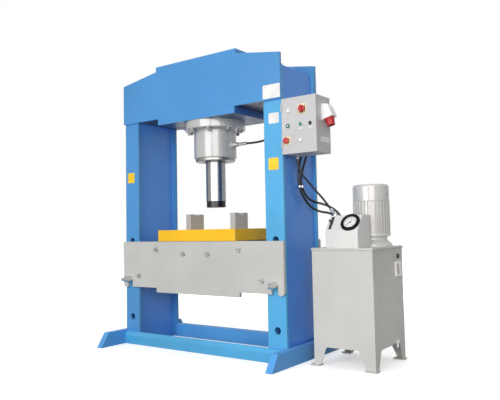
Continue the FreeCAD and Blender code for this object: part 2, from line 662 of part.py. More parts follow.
def control_bezels():
    """Clamping rings round the lamp, buttons, selector and lock."""
    rings = []
    for (x, z), outer in ((LAMP, 15), (START_BUTTON, 15), (SELECTOR, 15), (KEY_LOCK, 14),
                          (EMERGENCY_STOP, 19), (STOP_BUTTON, 15)):
        profile = ((12, 0), (outer, 0), (outer, 3), (outer - 2, 5.5), (12, 5.5))
        rings.append(turned(profile, (x, BOX_FRONT, z), (0, -1, 0)))
    return Part.Compound(rings)


def signal_lamp():
    """Domed lamp lens with its holder behind the door."""
    x, z = LAMP
    dome = Part.makeSphere(14, Vector(x, BOX_FRONT + 3, z)).common(
        rod(11, (x, BOX_FRONT - 14, z), (0, 1, 0), 14))
    return fused(dome, rod(11, (x, BOX_FRONT - 6, z), (0, 1, 0), 34))


def push_button(centre, proud):
    """Flat push button and its stem."""
    x, z = centre
    profile = ((0, -20), (8, -20), (8, -3), (11, -3), (11, proud - 1.5), (9.5, proud), (0, proud))
    return turned(profile, (x, BOX_FRONT, z), (0, -1, 0))


def selector_knob():
    """Selector with a raised bar."""
    x, z = SELECTOR
    base = turned(((0, -20), (8, -20), (8, -3), (11, -3), (11, 7), (0, 7)), (x, BOX_FRONT, z), (0, -1, 0))
    corners = ((x - 4, z - 10.2, 2), (x + 4, z - 10.2, 2), (x + 3, z + 10.2, 2), (x - 3, z + 10.2, 2))
    return fused(base, plate_xz(corners, BOX_FRONT - 17, BOX_FRONT - 6))


def key_lock():
    """Barrel of the door lock with its key slot."""
    x, z = KEY_LOCK
    barrel = turned(((0, -16), (8, -16), (8, -3), (9, -3), (9, 8), (8, 9), (0, 9)), (x, BOX_FRONT, z), (0, -1, 0))
    return barrel.cut(box(x - 1, x + 1, BOX_FRONT - 9, BOX_FRONT - 4, z - 4.5, z + 4.5))


def emergency_stop():
    """Mushroom button on its stem."""
    x, z = EMERGENCY_STOP
    profile = (
        (0, -20), (8, -20), (8, -3), (10.5, -3), (10.5, 11), (18, 12), (20, 15), (20, 19),
        (18.5, 22.5), (13, 25), (0, 26),
    )
    return turned(profile, (x, BOX_FRONT, z), (0, -1, 0))


def inlet_housing():
    """Angled mains inlet on the box's right side: moulded hood over a tilted mouth."""
    side = BOX_RIGHT
    half = INLET_HALF_WIDTH
    corners = ((side, INLET_LOW), (side + INLET_RUN, INLET_LOW + INLET_RISE, 6),
               (side + INLET_TOP_RUN, INLET_TOP, 18), (side, INLET_TOP))
    hood = plate_xz(corners, INLET_Y - half, INLET_Y + half)
    flange = box(side, side + 5, INLET_Y - half - 4, INLET_Y + half + 4, INLET_LOW - 4, INLET_TOP + 4)
    return fused(hood, flange)


def inlet_socket():
    """Round shroud of the inlet with its collar, open at the mouth, with its pins inside."""
    start = (BOX_RIGHT + INLET_RUN / 2, INLET_Y, INLET_LOW + INLET_RISE / 2)
    direction = (INLET_RISE, 0, -INLET_RUN)
    profile = (
        (0, 0), (31, 0), (31, 11), (28, 14), (24.5, 40), (25.5, 42), (25.5, 48), (21, 48), (21, 14), (0, 14),
    )
    shroud = turned(profile, start, direction)
    across = Vector(0, 1, 0)
    along = Vector(*direction).normalize()
    up = across.cross(along)
    pins = []
    for i in range(4):
        angle = math.radians(45 + 90 * i)
        foot = Vector(*start) + along * 13 + across * (12 * math.cos(angle)) + up * (12 * math.sin(angle))
        pins.append(Part.makeCylinder(3, 23, foot, along))
    return fused(shroud, *pins)


# ---- pipework and hoses -----------------------------------------------------------------------
def hose_end(origin, direction, radius, ferrule):
    """Swivel nut and crimped ferrule at a hose end, as one turned and hexagonal piece."""
    unit = Vector(*direction).normalize()
    nut = hexagon(2 * radius + 12, origin, direction, 20)
    start = Vector(*origin) + unit * 20
    wide = radius + 4
    profile = ((0, 0), (wide - 2, 0), (wide, 3), (wide, ferrule - 3), (wide - 2, ferrule), (0, ferrule))
    return fused(nut, turned(profile, tuple(start), direction))


def web_elbow(y):
    """Bulkhead elbow on the right upright: a nut on the web, a bend and the hose's end below it."""
    bend, _ = tube(((WEB_OUTER_FACE, y, ELBOW_Z), (ELBOW_X, y, ELBOW_Z), (ELBOW_X, y, ELBOW_Z - 30)), (18,), 10)
    nut = hexagon(32, (WEB_OUTER_FACE, y, ELBOW_Z), (1, 0, 0), 12)
    low = ELBOW_Z - 26
    return fused(bend, nut, hose_end((ELBOW_X, y, low), (0, 0, -1), HOSE_RADIUS, low - 20 - FEED_HOSE[0][2]))


def pipework():
    """Fittings at both ends of every hose, the hard pipes in the frame and the valve block."""
    port_end = hose_end((192, 0, PORT_Z), (1, 0, 0), HOSE_RADIUS, 73)
    pieces = [fused(port_end, hexagon(32, (172, 0, PORT_Z), (1, 0, 0), 20))]
    web_end = hose_end((WEB_INNER_FACE - 12, 0, ELBOW_Z), (-1, 0, 0), HOSE_RADIUS, 33)
    through = rod(9, (WEB_INNER_FACE, 0, ELBOW_Z), (1, 0, 0), WEB_OUTER_FACE - WEB_INNER_FACE)
    lock_nut = hexagon(32, (WEB_INNER_FACE - 12, 0, ELBOW_Z), (1, 0, 0), 12)
    pieces.append(fused(web_end, lock_nut, through, web_elbow(FEED_Y)))
    column = (WEB_INNER_FACE + WEB_OUTER_FACE) / 2
    route = ((172, CAP_PORT_Y, CAP_PORT_Z), (column, CAP_PORT_Y, CAP_PORT_Z), (column, RETURN_Y, ELBOW_Z),
             (WEB_OUTER_FACE, RETURN_Y, ELBOW_Z))
    cap_pipe, _ = tube(route, (45, 30), 9)
    cap_nut = hexagon(32, (172, CAP_PORT_Y, CAP_PORT_Z), (1, 0, 0), 30)
    pieces.append(fused(cap_pipe, cap_nut, web_elbow(RETURN_Y)))
    block = box(BLOCK_X - 27, BLOCK_X + 27, FEED_PORT_Y - 22, RETURN_PORT_Y + 22, LID_TOP, BLOCK_TOP)
    block = block.makeChamfer(2, block.Edges)
    for y in (FEED_PORT_Y, RETURN_PORT_Y):
        block = fused(block, hose_end((BLOCK_X, y, BLOCK_TOP), (0, 0, 1), HOSE_RADIUS, 21))
    pieces.append(block)
    pieces += [box_gland(), conduit_elbow()]
    return Part.Compound(pieces)


def box_gland():
    """Cable gland under the control box."""
    x, y, low = CONDUIT[0]
    nut = hexagon(24, (x, y, low + 8), (0, 0, 1), BOX_LOW - low - 8)
    dome = turned(((0, 0), (8, 0), (11, 5), (11, 9), (0, 9)), (x, y, low), (0, 0, 1))
    return fused(nut, dome, rod(6.9, (x, y, BOX_LOW - 1), (0, 0, 1), 12))


def conduit_elbow():
    """Tilted conduit connector on top of the gauge housing."""
    end = Vector(*CONDUIT[-1])
    along = (end - Vector(*CONDUIT[-2])).normalize()
    foot = end + along * ((end.z - HOUSING_TOP) / -along.z)
    sleeve = Part.makeCylinder(10.5, 30, end, along)
    neck = Part.makeCylinder(8.5, (foot - end).Length, end, along)
    base = rod(15, (foot.x, foot.y, HOUSING_TOP), (0, 0, 1), 9)
    dome = Part.makeSphere(10, Vector(foot.x, foot.y, HOUSING_TOP + 9))
    below = box(foot.x - 30, foot.x + 30, foot.y - 30, foot.y + 30, HOUSING_TOP - 40, HOUSING_TOP)
    return fused(sleeve, neck, base, dome).cut(below)


# ---- power unit -------------------------------------------------------------------------------
def tank_body():
    """Oil tank: folded walls that run down into four tapered corner legs, with foot pads."""
    sheet = TANK_SHEET
    outer = box(TANK_LEFT, TANK_RIGHT, TANK_FRONT, TANK_REAR, PAD_THICK, TANK_TOP)
    oil = box(TANK_LEFT + sheet, TANK_RIGHT - sheet, TANK_FRONT + sheet, TANK_REAR - sheet,
              TANK_FLOOR + sheet, TANK_TOP)
    under = box(TANK_LEFT + sheet, TANK_RIGHT - sheet, TANK_FRONT + sheet, TANK_REAR - sheet,
                PAD_THICK, TANK_FLOOR)
    body = outer.cut([oil, under])
    foot, root = LEG_WIDTHS
    right_foot, right_root = RIGHT_LEG_WIDTHS
    across = ((TANK_LEFT + foot, -1), (TANK_RIGHT - right_foot, -1), (TANK_RIGHT - right_root, SKIRT_LOW, 14),
              (TANK_LEFT + root, SKIRT_LOW, 14))
    deep = ((TANK_FRONT + foot, -1), (TANK_REAR - foot, -1), (TANK_REAR - root, SKIRT_LOW, 14),
            (TANK_FRONT + root, SKIRT_LOW, 14))
    body = body.cut(plate_xz(across, TANK_FRONT - 1, TANK_REAR + 1))
    body = body.cut(plate_yz(deep, TANK_LEFT - 1, TANK_RIGHT + 1))
    pads = []
    half = PAD_HALF
    for left, right in PAD_SPANS_X:
        for y in PAD_Y:
            corners = ((left, y - half, 6), (right, y - half, 6), (right, y + half, 6), (left, y + half, 6))
            pads.append(plate_xy(corners, 0, PAD_THICK))
    return fused(body, *pads)


def tank_lid():
    """Lid plate that carries the motor and the gauge housing."""
    lip = LID_LIP
    corners = ((TANK_LEFT - lip, TANK_FRONT - lip, 8), (TANK_RIGHT + lip, TANK_FRONT - lip, 8),
               (TANK_RIGHT + lip, TANK_REAR + lip, 8), (TANK_LEFT - lip, TANK_REAR + lip, 8))
    return plate_xy(corners, TANK_TOP, LID_TOP)


def level_gauge():
    """Oil level gauge on the tank's right side: frame with a raised sight tube."""
    side = TANK_RIGHT
    y, z = LEVEL_MIDDLE
    corners = ((y - 42, z - 47, 8), (y + 42, z - 47, 8), (y + 42, z + 47, 8), (y - 42, z + 47, 8))
    slot = LEVEL_WINDOW_Y
    frame = plate_yz(corners, side, side + 9)
    window = plate_yz(((slot - 7, z - 33, 4), (slot + 7, z - 33, 4), (slot + 7, z + 33, 4), (slot - 7, z + 33, 4)),
                      side + 5, side + 9)
    return fused(frame.cut(window), rod(5, (side + 6, slot, z - 33), (0, 0, 1), 66))


def filler_cap():
    """Screw cap of the filler neck, with grip flutes."""
    y, z = FILLER
    x = TANK_RIGHT + 3.5
    cap = rod(14.5, (x, y, z), (1, 0, 0), 9)
    flutes = []
    for i in range(12):
        angle = math.radians(30 * i)
        flutes.append(rod(2.2, (x, y + 15.6 * math.cos(angle), z + 15.6 * math.sin(angle)), (1, 0, 0), 9))
    return cap.cut(flutes).cut(rod(9.3, (x, y, z), (1, 0, 0), 6))


def drain_valve():
    """Ball valve low on the tank's right side, with the filler neck higher up."""
    x = TANK_RIGHT
    y, z = DRAIN
    axis = x + DRAIN_STAND
    body = fused(hexagon(30, (x, y, z), (1, 0, 0), 8), rod(12, (x + 8, y, z), (1, 0, 0), 14),
                 rod(7, (axis, y, z - 30), (0, 0, 1), 30), hexagon(13, (axis, y, z - 36), (0, 0, 1), 14))
    stem = rod(4, (axis, y - 22, z), (0, 1, 0), 22)
    neck = rod(9, (x, *FILLER), (1, 0, 0), 9)
    flange = rod(15, (x, *FILLER), (1, 0, 0), 3)
    return Part.Compound([fused(body, stem), fused(neck, flange)])


def drain_handle():
    """Lever of the drain valve."""
    x = TANK_RIGHT + DRAIN_STAND
    y, z = DRAIN
    corners = ((x - 7, z - 8, 3), (x + 7, z - 8, 3), (x + 7.5, z + 30, 6), (x - 7.5, z + 30, 6))
    lever = plate_xz(corners, y - 19, y - 16)
    return lever.cut(rod(4.1, (x, y - 19, z), (0, 1, 0), 3))


def slope_frame(x, along, proud):
    """Point on the sloping panel at x, along the slope from its middle, and proud of it."""
    rise = Vector(0, HOUSING_SLOPE_BACK - HOUSING_FRONT, HOUSING_TOP - HOUSING_KNEE).normalize()
    normal = Vector(0, -rise.z, rise.y)
    middle = Vector(x, (HOUSING_FRONT + HOUSING_SLOPE_BACK) / 2, (HOUSING_KNEE + HOUSING_TOP) / 2)
    return middle + rise * along + normal * proud, rise, normal


def slope_block(x0, x1, along, proud0, proud1):
    """Block on the sloping panel between two x, plus or minus along, between two heights over it."""
    corner, rise, normal = slope_frame(x0, -along, proud0)
    face = Part.Face(Part.makePolygon([
        corner, corner + rise * (2 * along), corner + rise * (2 * along) + normal * (proud1 - proud0),
        corner + normal * (proud1 - proud0), corner,
    ]))
    return face.extrude(Vector(x1 - x0, 0, 0))


def gauge_housing():
    """Folded housing with a sloping panel, open below, holed for the gauge and the lever."""
    sheet = HOUSING_SHEET
    corners = ((HOUSING_FRONT, LID_TOP), (HOUSING_REAR, LID_TOP), (HOUSING_REAR, HOUSING_TOP, 4),
               (HOUSING_SLOPE_BACK, HOUSING_TOP, 4), (HOUSING_FRONT, HOUSING_KNEE, 4))
    inner = ((HOUSING_FRONT + sheet, LID_TOP), (HOUSING_REAR - sheet, LID_TOP),
             (HOUSING_REAR - sheet, HOUSING_TOP - sheet), (HOUSING_SLOPE_BACK + 1.5, HOUSING_TOP - sheet),
             (HOUSING_FRONT + sheet, HOUSING_KNEE - 1.5))
    shell = plate_yz(corners, HOUSING_LEFT, HOUSING_RIGHT)
    shell = shell.cut(plate_yz(inner, HOUSING_LEFT + sheet, HOUSING_RIGHT - sheet))
    centre, _, normal = slope_frame(GAUGE_X, 0, -10)
    shell = shell.cut(Part.makeCylinder(GAUGE_RADIUS + 1, 20, centre, normal))
    return shell.cut(slope_block(LEVER_X - 6, LEVER_X + 6, 41, -10, 10))


def gauge_case():
    """Pressure gauge: case behind the panel, bezel in front and the dial face inside it."""
    centre, _, normal = slope_frame(GAUGE_X, 0, 0)
    outer = BEZEL_RADIUS
    inner = DIAL_RADIUS
    profile = (
        (0, -38), (46, -38), (GAUGE_RADIUS, -34), (GAUGE_RADIUS, 0), (outer, 0), (outer, 9), (outer - 3, 13),
        (inner + 3, 13), (inner, 11), (inner, 4), (0, 4),
    )
    return turned(profile, tuple(centre), tuple(normal))


def gauge_needle():
    """Pointer over the dial, from a small tail to a fine tip, resting at zero."""
    centre, rise, normal = slope_frame(GAUGE_X, 0, 6)
    turn = Rotation(normal, 135)
    along = turn.multVec(rise)
    across = along.cross(normal)
    corners = [centre + along * 33, centre + across * 2, centre - along * 11 + across * 2,
               centre - along * 11 - across * 2, centre - across * 2]
    blade = Part.Face(Part.makePolygon(corners + corners[:1])).extrude(normal * 1.2)
    return fused(blade, Part.makeCylinder(4, 3, centre - normal * 0.8, normal))


def valve_lever():
    """Hand lever that stands out through the panel's slot, on its pivot boss."""
    foot, _, normal = slope_frame(LEVER_X, 0, -LEVER_PIVOT_DEPTH)
    stick = Part.makeCylinder(4.0, LEVER_PIVOT_DEPTH + 22, foot, normal)
    knob = Part.makeSphere(7.5, foot + normal * (LEVER_PIVOT_DEPTH + 26))
    boss = Part.makeCylinder(11, 16, foot - Vector(8, 0, 0), Vector(1, 0, 0))
    return fused(stick, knob, boss).cut(Part.makeCylinder(4, 16, foot - Vector(8, 0, 0), Vector(1, 0, 0)))


def lever_bracket():
    """Bracket inside the housing: two cheeks on the lid and the pivot pin between them."""
    foot, _, _ = slope_frame(LEVER_X, 0, -LEVER_PIVOT_DEPTH)
    cheeks = []
    for x in (LEVER_X - 14, LEVER_X + 9):
        corners = ((foot.y - 16, LID_TOP), (foot.y + 16, LID_TOP), (foot.y + 16, foot.z + 14, 12),
                   (foot.y - 16, foot.z + 14, 12))
        cheeks.append(plate_yz(corners, x, x + 5))
    base = box(LEVER_X - 14, LEVER_X + 14, foot.y - 16, foot.y + 16, LID_TOP, LID_TOP + 6)
    pin = Part.makeCylinder(4 - RUNNING_FIT, 28, foot - Vector(14, 0, 0), Vector(1, 0, 0))
    return fused(base, cheeks[0], cheeks[1], pin)


def lever_guide():
    """Slotted plate on the sloping panel that the lever runs in."""
    plate = slope_block(LEVER_X - 9, LEVER_X + 9, 46, 0, 2)
    return plate.cut(slope_block(LEVER_X - 6, LEVER_X + 6, 41, -1, 4))


def motor_body():
    """Finned motor housing with its end bell, mounting flange and rear terminal box."""
    points = []
    step = 2 * math.pi / FIN_COUNT
    for i in range(FIN_COUNT):
        for offset, radius in ((-0.16, FIN_ROOT), (-0.12, FIN_RADIUS), (0.12, FIN_RADIUS), (0.16, FIN_ROOT)):
            angle = (i + offset) * step
            points.append(Vector(radius * math.cos(angle), radius * math.sin(angle), MOTOR_BODY_LOW + 14))
    section = Part.Face(Part.makePolygon(points + points[:1]))
    finned = section.extrude(Vector(0, 0, MOTOR_BODY_TOP - MOTOR_BODY_LOW - 26))
    profile = (
        (0, LID_TOP), (MOTOR_FLANGE_RADIUS, LID_TOP), (MOTOR_FLANGE_RADIUS, LID_TOP + 15),
        (MOTOR_FLANGE_RADIUS - 6, LID_TOP + 20), (104, LID_TOP + 34), (96, LID_TOP + 42), (96, MOTOR_BODY_LOW - 10),
        (FIN_RADIUS, MOTOR_BODY_LOW), (FIN_RADIUS, MOTOR_BODY_LOW + 18), (FIN_ROOT, MOTOR_BODY_LOW + 20),
        (FIN_ROOT, MOTOR_BODY_TOP - 16), (110, MOTOR_BODY_TOP - 14), (110, MOTOR_BODY_TOP), (0, MOTOR_BODY_TOP),
    )
    core = turned(profile)
    shaft_bore = rod(14 + RUNNING_FIT, (0, 0, MOTOR_BODY_TOP - 60), (0, 0, 1), 60)
    terminal = box(-45, 45, 95, 142, 850, 940)
    terminal = terminal.makeFillet(5, terminal.Edges)
    lugs = []
    for i in range(4):
        angle = math.radians(45 + 90 * i)
        lugs.append(hexagon(16, (112 * math.cos(angle), 112 * math.sin(angle), LID_TOP + 20), (0, 0, 1), 9))
    body = fused(core, finned, terminal, *lugs).cut(shaft_bore)
    body.translate(Vector(MOTOR_X, MOTOR_Y, 0))
    return body


def fan_cowl():
    """Pressed cowl over the fan, with a slotted top."""
    top = COWL_TOP
    profile = (
        (COWL_RADIUS, MOTOR_BODY_TOP - 12), (COWL_RADIUS, top - 12), (COWL_RADIUS - 4, top - 4),
        (COWL_RADIUS - 12, top), (0, top), (0, top - 3), (COWL_RADIUS - 13, top - 3), (COWL_RADIUS - 6.5, top - 6.5),
        (COWL_RADIUS - 3, top - 13), (COWL_RADIUS - 3, MOTOR_BODY_TOP - 12),
    )
    cowl = turned(profile)
    slots = []
    for radius in (42, 66, 90):
        ring = rod(radius + 7, (0, 0, top - 10), (0, 0, 1), 20)
        ring = ring.cut(rod(radius - 7, (0, 0, top - 10), (0, 0, 1), 20))
        spokes = [box(-120, 120, -5, 5, top - 10, top + 10) for _ in range(2)]
        spokes[1].rotate(Vector(0, 0, 0), Vector(0, 0, 1), 90)
        slots.append(ring.cut(spokes))
    cowl = cowl.cut(slots)
    seat = turned(((110, MOTOR_BODY_TOP - 10), (COWL_RADIUS - 2, MOTOR_BODY_TOP - 10),
                   (COWL_RADIUS - 2, MOTOR_BODY_TOP - 4), (110, MOTOR_BODY_TOP - 4)))
    cowl = fused(cowl, seat)
    cowl.translate(Vector(MOTOR_X, MOTOR_Y, 0))
    return cowl


def motor_fan():
    """Fan with straight blades, fixed on the motor shaft."""
    low = MOTOR_BODY_TOP + 14
    disc = turned(((0, low), (96, low), (96, low + 3), (30, low + 5), (22, low + 45), (0, low + 45)))
    blades = []
    for i in range(8):
        blade = box(20, 95, -1.5, 1.5, low + 2, low + 52)
        blade.rotate(Vector(0, 0, 0), Vector(0, 0, 1), 45 * i)
        blades.append(blade)
    shaft = rod(14, (0, 0, MOTOR_BODY_TOP - 60), (0, 0, 1), low - MOTOR_BODY_TOP + 60)
    rotor = fused(disc, shaft, *blades)
    rotor.translate(Vector(MOTOR_X, MOTOR_Y, 0))
    return rotor


def pieces():
    """Every node name with its shape, in the order they go together."""
    front = -HALF_DEPTH
    table_front = -HALF_DEPTH - TABLE_GAP - TABLE_PLATE
    table_rear = HALF_DEPTH + TABLE_GAP
    return {
        "crown_front_plate": crown_side_plate(front - CROWN_PLATE),
        "crown_rear_plate": crown_side_plate(HALF_DEPTH),
        "crown_cap_plate": crown_cap_plate(),
        "crown_seat_plate": crown_seat_plate(),
        "crown_inner_plates": crown_inner_plates(),
        "left_side_plates": mirrored(upright_side_plates()),
        "left_webs": upright_webs(-1),
        "right_side_plates": upright_side_plates(),
        "right_webs": upright_webs(1),
        "feet": feet(),
        "front_crossbar": front_crossbar(),
        "rear_crossbar": rear_crossbar(),
        "cylinder_barrel": cylinder_barrel(),
        "cylinder_gland": cylinder_gland(),
        "flange_bolts": flange_bolts(),
        "piston": piston(),
        "ram_rod": ram_rod(),
        "ram_nose": ram_nose(),
        "table_front_plate": table_side_plate(table_front),
        "table_rear_plate": table_side_plate(table_rear),
        "table_spacers": table_spacers(),
        "table_bolts": table_bolts(),
        "platen": platen(),
        "v_blocks": v_blocks(),
        "support_pin_left": support_pin(-1),
        "support_pin_right": support_pin(1),
        "control_box": control_box(),
        "control_door": control_door(),
        "mounting_plate": mounting_plate(),
        "switchgear": switchgear(),
        "main_switch_plate": main_switch_plate(),
        "main_switch_knob": main_switch_knob(),
        "control_bezels": control_bezels(),
        "signal_lamp": signal_lamp(),
        "start_button": push_button(START_BUTTON, 8),
        "stop_button": push_button(STOP_BUTTON, 8),
        "selector_knob": selector_knob(),
        "key_lock": key_lock(),
        "emergency_stop": emergency_stop(),
        "inlet_housing": inlet_housing(),
        "inlet_socket": inlet_socket(),
        "pipework": pipework(),
        "cylinder_hose": cord("cylinder_hose", CYLINDER_HOSE, HOSE_RADIUS),
        "feed_hose": cord("feed_hose", FEED_HOSE, HOSE_RADIUS),
        "return_hose": cord("return_hose", RETURN_HOSE, HOSE_RADIUS),
        "control_conduit": cord("control_conduit", CONDUIT, CONDUIT_RADIUS),
        "tank_body": tank_body(),
        "tank_lid": tank_lid(),
        "level_gauge": level_gauge(),
        "filler_cap": filler_cap(),
        "drain_valve": drain_valve(),
        "drain_handle": drain_handle(),
        "gauge_housing": gauge_housing(),
        "gauge_case": gauge_case(),
        "gauge_needle": gauge_needle(),
        "valve_lever": valve_lever(),
        "lever_mount": Part.Compound([lever_bracket(), lever_guide()]),
        "motor_body": motor_body(),
        "fan_cowl": fan_cowl(),
        "motor_fan": motor_fan(),
    }


def main():
    """Write every piece, moved to the row's frame."""
    os.makedirs("parts", exist_ok=True)
    for name, shape in pieces().items():
        placed_shape = shape.copy()
        placed_shape.translate(Vector(PRESS_X, 0, 0))
        placed_shape.exportStep("parts/%s.step" % name)


main()
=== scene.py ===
# %% [markdown]
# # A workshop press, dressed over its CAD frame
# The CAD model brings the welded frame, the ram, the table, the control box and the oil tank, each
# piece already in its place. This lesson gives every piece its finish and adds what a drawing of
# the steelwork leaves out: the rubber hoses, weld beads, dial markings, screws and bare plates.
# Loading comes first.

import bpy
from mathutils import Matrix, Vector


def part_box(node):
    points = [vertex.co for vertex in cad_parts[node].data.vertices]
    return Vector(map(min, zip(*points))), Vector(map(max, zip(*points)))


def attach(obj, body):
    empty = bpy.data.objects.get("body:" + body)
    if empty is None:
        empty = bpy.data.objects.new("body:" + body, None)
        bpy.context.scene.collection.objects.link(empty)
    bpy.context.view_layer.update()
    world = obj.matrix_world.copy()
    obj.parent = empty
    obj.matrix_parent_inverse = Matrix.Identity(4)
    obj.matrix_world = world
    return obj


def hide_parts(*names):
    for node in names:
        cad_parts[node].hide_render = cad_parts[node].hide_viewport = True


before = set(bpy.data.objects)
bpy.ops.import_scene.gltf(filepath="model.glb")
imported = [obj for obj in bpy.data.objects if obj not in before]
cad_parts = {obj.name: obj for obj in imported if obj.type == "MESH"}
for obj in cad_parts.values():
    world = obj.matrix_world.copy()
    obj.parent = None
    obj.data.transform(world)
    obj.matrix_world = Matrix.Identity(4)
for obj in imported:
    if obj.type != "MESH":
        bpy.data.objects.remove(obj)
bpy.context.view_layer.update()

import math

import bmesh
import bpy
import numpy as np
from mathutils import Matrix, Vector

# %% [markdown]
# ## Small tools for materials
# A Blender material is a little network of nodes. It could be wired by hand in the editor, but a
# script can be read and run again. These helpers keep it short: one fills or wires the inputs of a
# node, one places a node and fills it, and the rest are the few nodes that come again and again.

# %% Helpers that place and wire nodes
def fill(tree, node, inputs):
    """Give a node's inputs, by name or number, a value or a link from another node."""
    for key, value in inputs.items():
        if isinstance(value, bpy.types.NodeSocket):
            tree.links.new(value, node.inputs[key])
        else:
            node.inputs[key].default_value = value


def put(tree, kind, inputs, **settings):
    """Add a node, set its options, then fill its inputs."""
    node = tree.nodes.new(kind)
    for name, value in settings.items():
        setattr(node, name, value)
    fill(tree, node, inputs)
    return node


def calc(tree, operation, *values):
    """One Math node; returns its output."""
    return put(tree, "ShaderNodeMath", dict(enumerate(values)), operation=operation).outputs[0]


def vector_calc(tree, operation, *values):
    """One Vector Math node; returns the node."""
    return put(tree, "ShaderNodeVectorMath", dict(enumerate(values)), operation=operation)


def ramp(tree, value, low, high, to_low=0.0, to_high=1.0):
    """Map a value smoothly from one range to another."""
    return put(tree, "ShaderNodeMapRange", {0: value, 1: low, 2: high, 3: to_low, 4: to_high},
               interpolation_type="SMOOTHSTEP").outputs[0]


def noise(tree, position, scale, detail, distortion=0.0):
    """One Noise node; its value swings about 0.5, roughly scale times in a metre."""
    inputs = {"Vector": position, "Scale": scale, "Detail": detail, "Distortion": distortion}
    return put(tree, "ShaderNodeTexNoise", inputs).outputs[0]


def blend_colour(tree, share, first, second):
    """Mix two colours by a share from 0 to 1."""
    return put(tree, "ShaderNodeMix", {0: share, 6: first, 7: second}, data_type="RGBA").outputs[2]


def bump(tree, height, distance, strength=0.6):
    """A normal that follows a height; distance is in metres."""
    return put(tree, "ShaderNodeBump",
               {"Height": height, "Distance": distance, "Strength": strength}).outputs[0]


print("node helpers ready")

# %% [markdown]
# ## Groups and materials
# Effects that several finishes share, such as dust, are node groups: built once, tuned in one
# place, and used in each material with its own values. The alternative, the same nodes copied into
# every material, would have to be changed in every copy. A material starts with its own Principled
# shader and the object's own coordinates, so a pattern stays put when the piece moves.

# %% Helpers for groups and materials
def new_group(name, inputs, outputs):
    """Start a shader node group: inputs are (name, kind, default), outputs are names of values."""
    tree = bpy.data.node_groups.new(name, "ShaderNodeTree")
    for label, kind, default in inputs:
        socket = tree.interface.new_socket(name=label, in_out="INPUT", socket_type="NodeSocket" + kind)
        socket.default_value = default
    for label in outputs:
        tree.interface.new_socket(name=label, in_out="OUTPUT", socket_type="NodeSocketFloat")
    return tree, tree.nodes.new("NodeGroupInput").outputs, tree.nodes.new("NodeGroupOutput")


def use(tree, group, **inputs):
    """Place a group in a material; returns its outputs."""
    return put(tree, "ShaderNodeGroup", inputs, node_tree=group).outputs


def new_material(name):
    """Start a material; returns it with its tree, its shader and the texture coordinates."""
    material = bpy.data.materials.new(name)
    material.use_nodes = True
    tree = material.node_tree
    return material, tree, tree.nodes["Principled BSDF"], put(tree, "ShaderNodeTexCoord", {}).outputs


print("group and material helpers ready")

# %% [markdown]
# ## Sprayed paint is never quite even
# A sprayed coat dries with a faint orange peel of about two millimetres and with broad patches
# where it went on a little thicker. Noise at three scales makes this: the fine one and the middle
# one lift the surface, the middle one also varies the gloss, and the broad one shifts the tone. It
# could be painted as an image, but noise keeps its scale on every plate, large or small.

# %% Group: sprayed coat
CLOUD_SCALE = 17.0

sprayed, given, out = new_group(
    "sprayed_coat",
    [("Position", "Vector", (0, 0, 0)), ("Peel", "Float", 420.0), ("Patch", "Float", 2.2)],
    ["Height", "Tone", "Gloss"])
peel = noise(sprayed, given["Position"], given["Peel"], 2.0)
patch = noise(sprayed, given["Position"], given["Patch"], 4.0)
cloud = noise(sprayed, given["Position"], CLOUD_SCALE, 3.0)
height = calc(sprayed, "ADD", calc(sprayed, "MULTIPLY", peel, 0.6), calc(sprayed, "MULTIPLY", cloud, 0.8))
fill(sprayed, out, {"Height": height, "Tone": ramp(sprayed, patch, 0.3, 0.7),
                    "Gloss": ramp(sprayed, cloud, 0.3, 0.7)})
print("group", sprayed.name)

# %% [markdown]
# ## Wear along the rims of plates
# Paint thins and chips first along the edges of a plate. Geometry's Pointiness could find edges,
# but these plates are large flat faces with no points in between, so it finds nothing. For a plate
# that fills its own box, a point is on a rim when it is close to two of the box's faces at once.
# The group takes the box's two corners, turns the distance along each axis into a closeness, and
# keeps the strongest product of two. A noise breaks the line, so that the wear comes and goes.

# %% Group: plate rims
RIM_WIDTH = 0.004
BREAK_SCALE = 26.0

rims, given, out = new_group(
    "plate_rims",
    [("Position", "Vector", (0, 0, 0)), ("Low", "Vector", (0, 0, 0)), ("High", "Vector", (1, 1, 1)),
     ("Width", "Float", RIM_WIDTH)],
    ["Mask"])
from_low = vector_calc(rims, "SUBTRACT", given["Position"], given["Low"]).outputs[0]
from_high = vector_calc(rims, "SUBTRACT", given["High"], given["Position"]).outputs[0]
nearest = vector_calc(rims, "MINIMUM", from_low, from_high).outputs[0]
close = [calc(rims, "SUBTRACT", 1.0, ramp(rims, calc(rims, "DIVIDE", distance, given["Width"]), 0.2, 1.0))
         for distance in put(rims, "ShaderNodeSeparateXYZ", {0: nearest}).outputs]
pairs = [calc(rims, "MULTIPLY", close[i], close[(i + 1) % 3]) for i in range(3)]
strongest = calc(rims, "MAXIMUM", calc(rims, "MAXIMUM", pairs[0], pairs[1]), pairs[2])
breaks = ramp(rims, noise(rims, given["Position"], BREAK_SCALE, 6.0), 0.42, 0.66)
fill(rims, out, {"Mask": calc(rims, "MULTIPLY", strongest, breaks)})
print("group", rims.name)

# %% [markdown]
# ## Dust
# Dust lies on what faces upwards, thicker in some places than in others. The upward part of the
# normal finds those faces, with no mask to paint, and a noise makes the drifts.

# %% Group: settled dust
dust, given, out = new_group(
    "settled_dust",
    [("Position", "Vector", (0, 0, 0)), ("Normal", "Vector", (0, 0, 1)), ("Amount", "Float", 0.3)],
    ["Mask"])
upward = ramp(dust, put(dust, "ShaderNodeSeparateXYZ", {0: given["Normal"]}).outputs[2], 0.55, 0.98)
drift = ramp(dust, noise(dust, given["Position"], 7.0, 7.0), 0.3, 0.7, 0.35, 1.0)
layer = calc(dust, "MULTIPLY", upward, given["Amount"])
fill(dust, out, {"Mask": calc(dust, "MULTIPLY", layer, drift)})
print("group", dust.name)

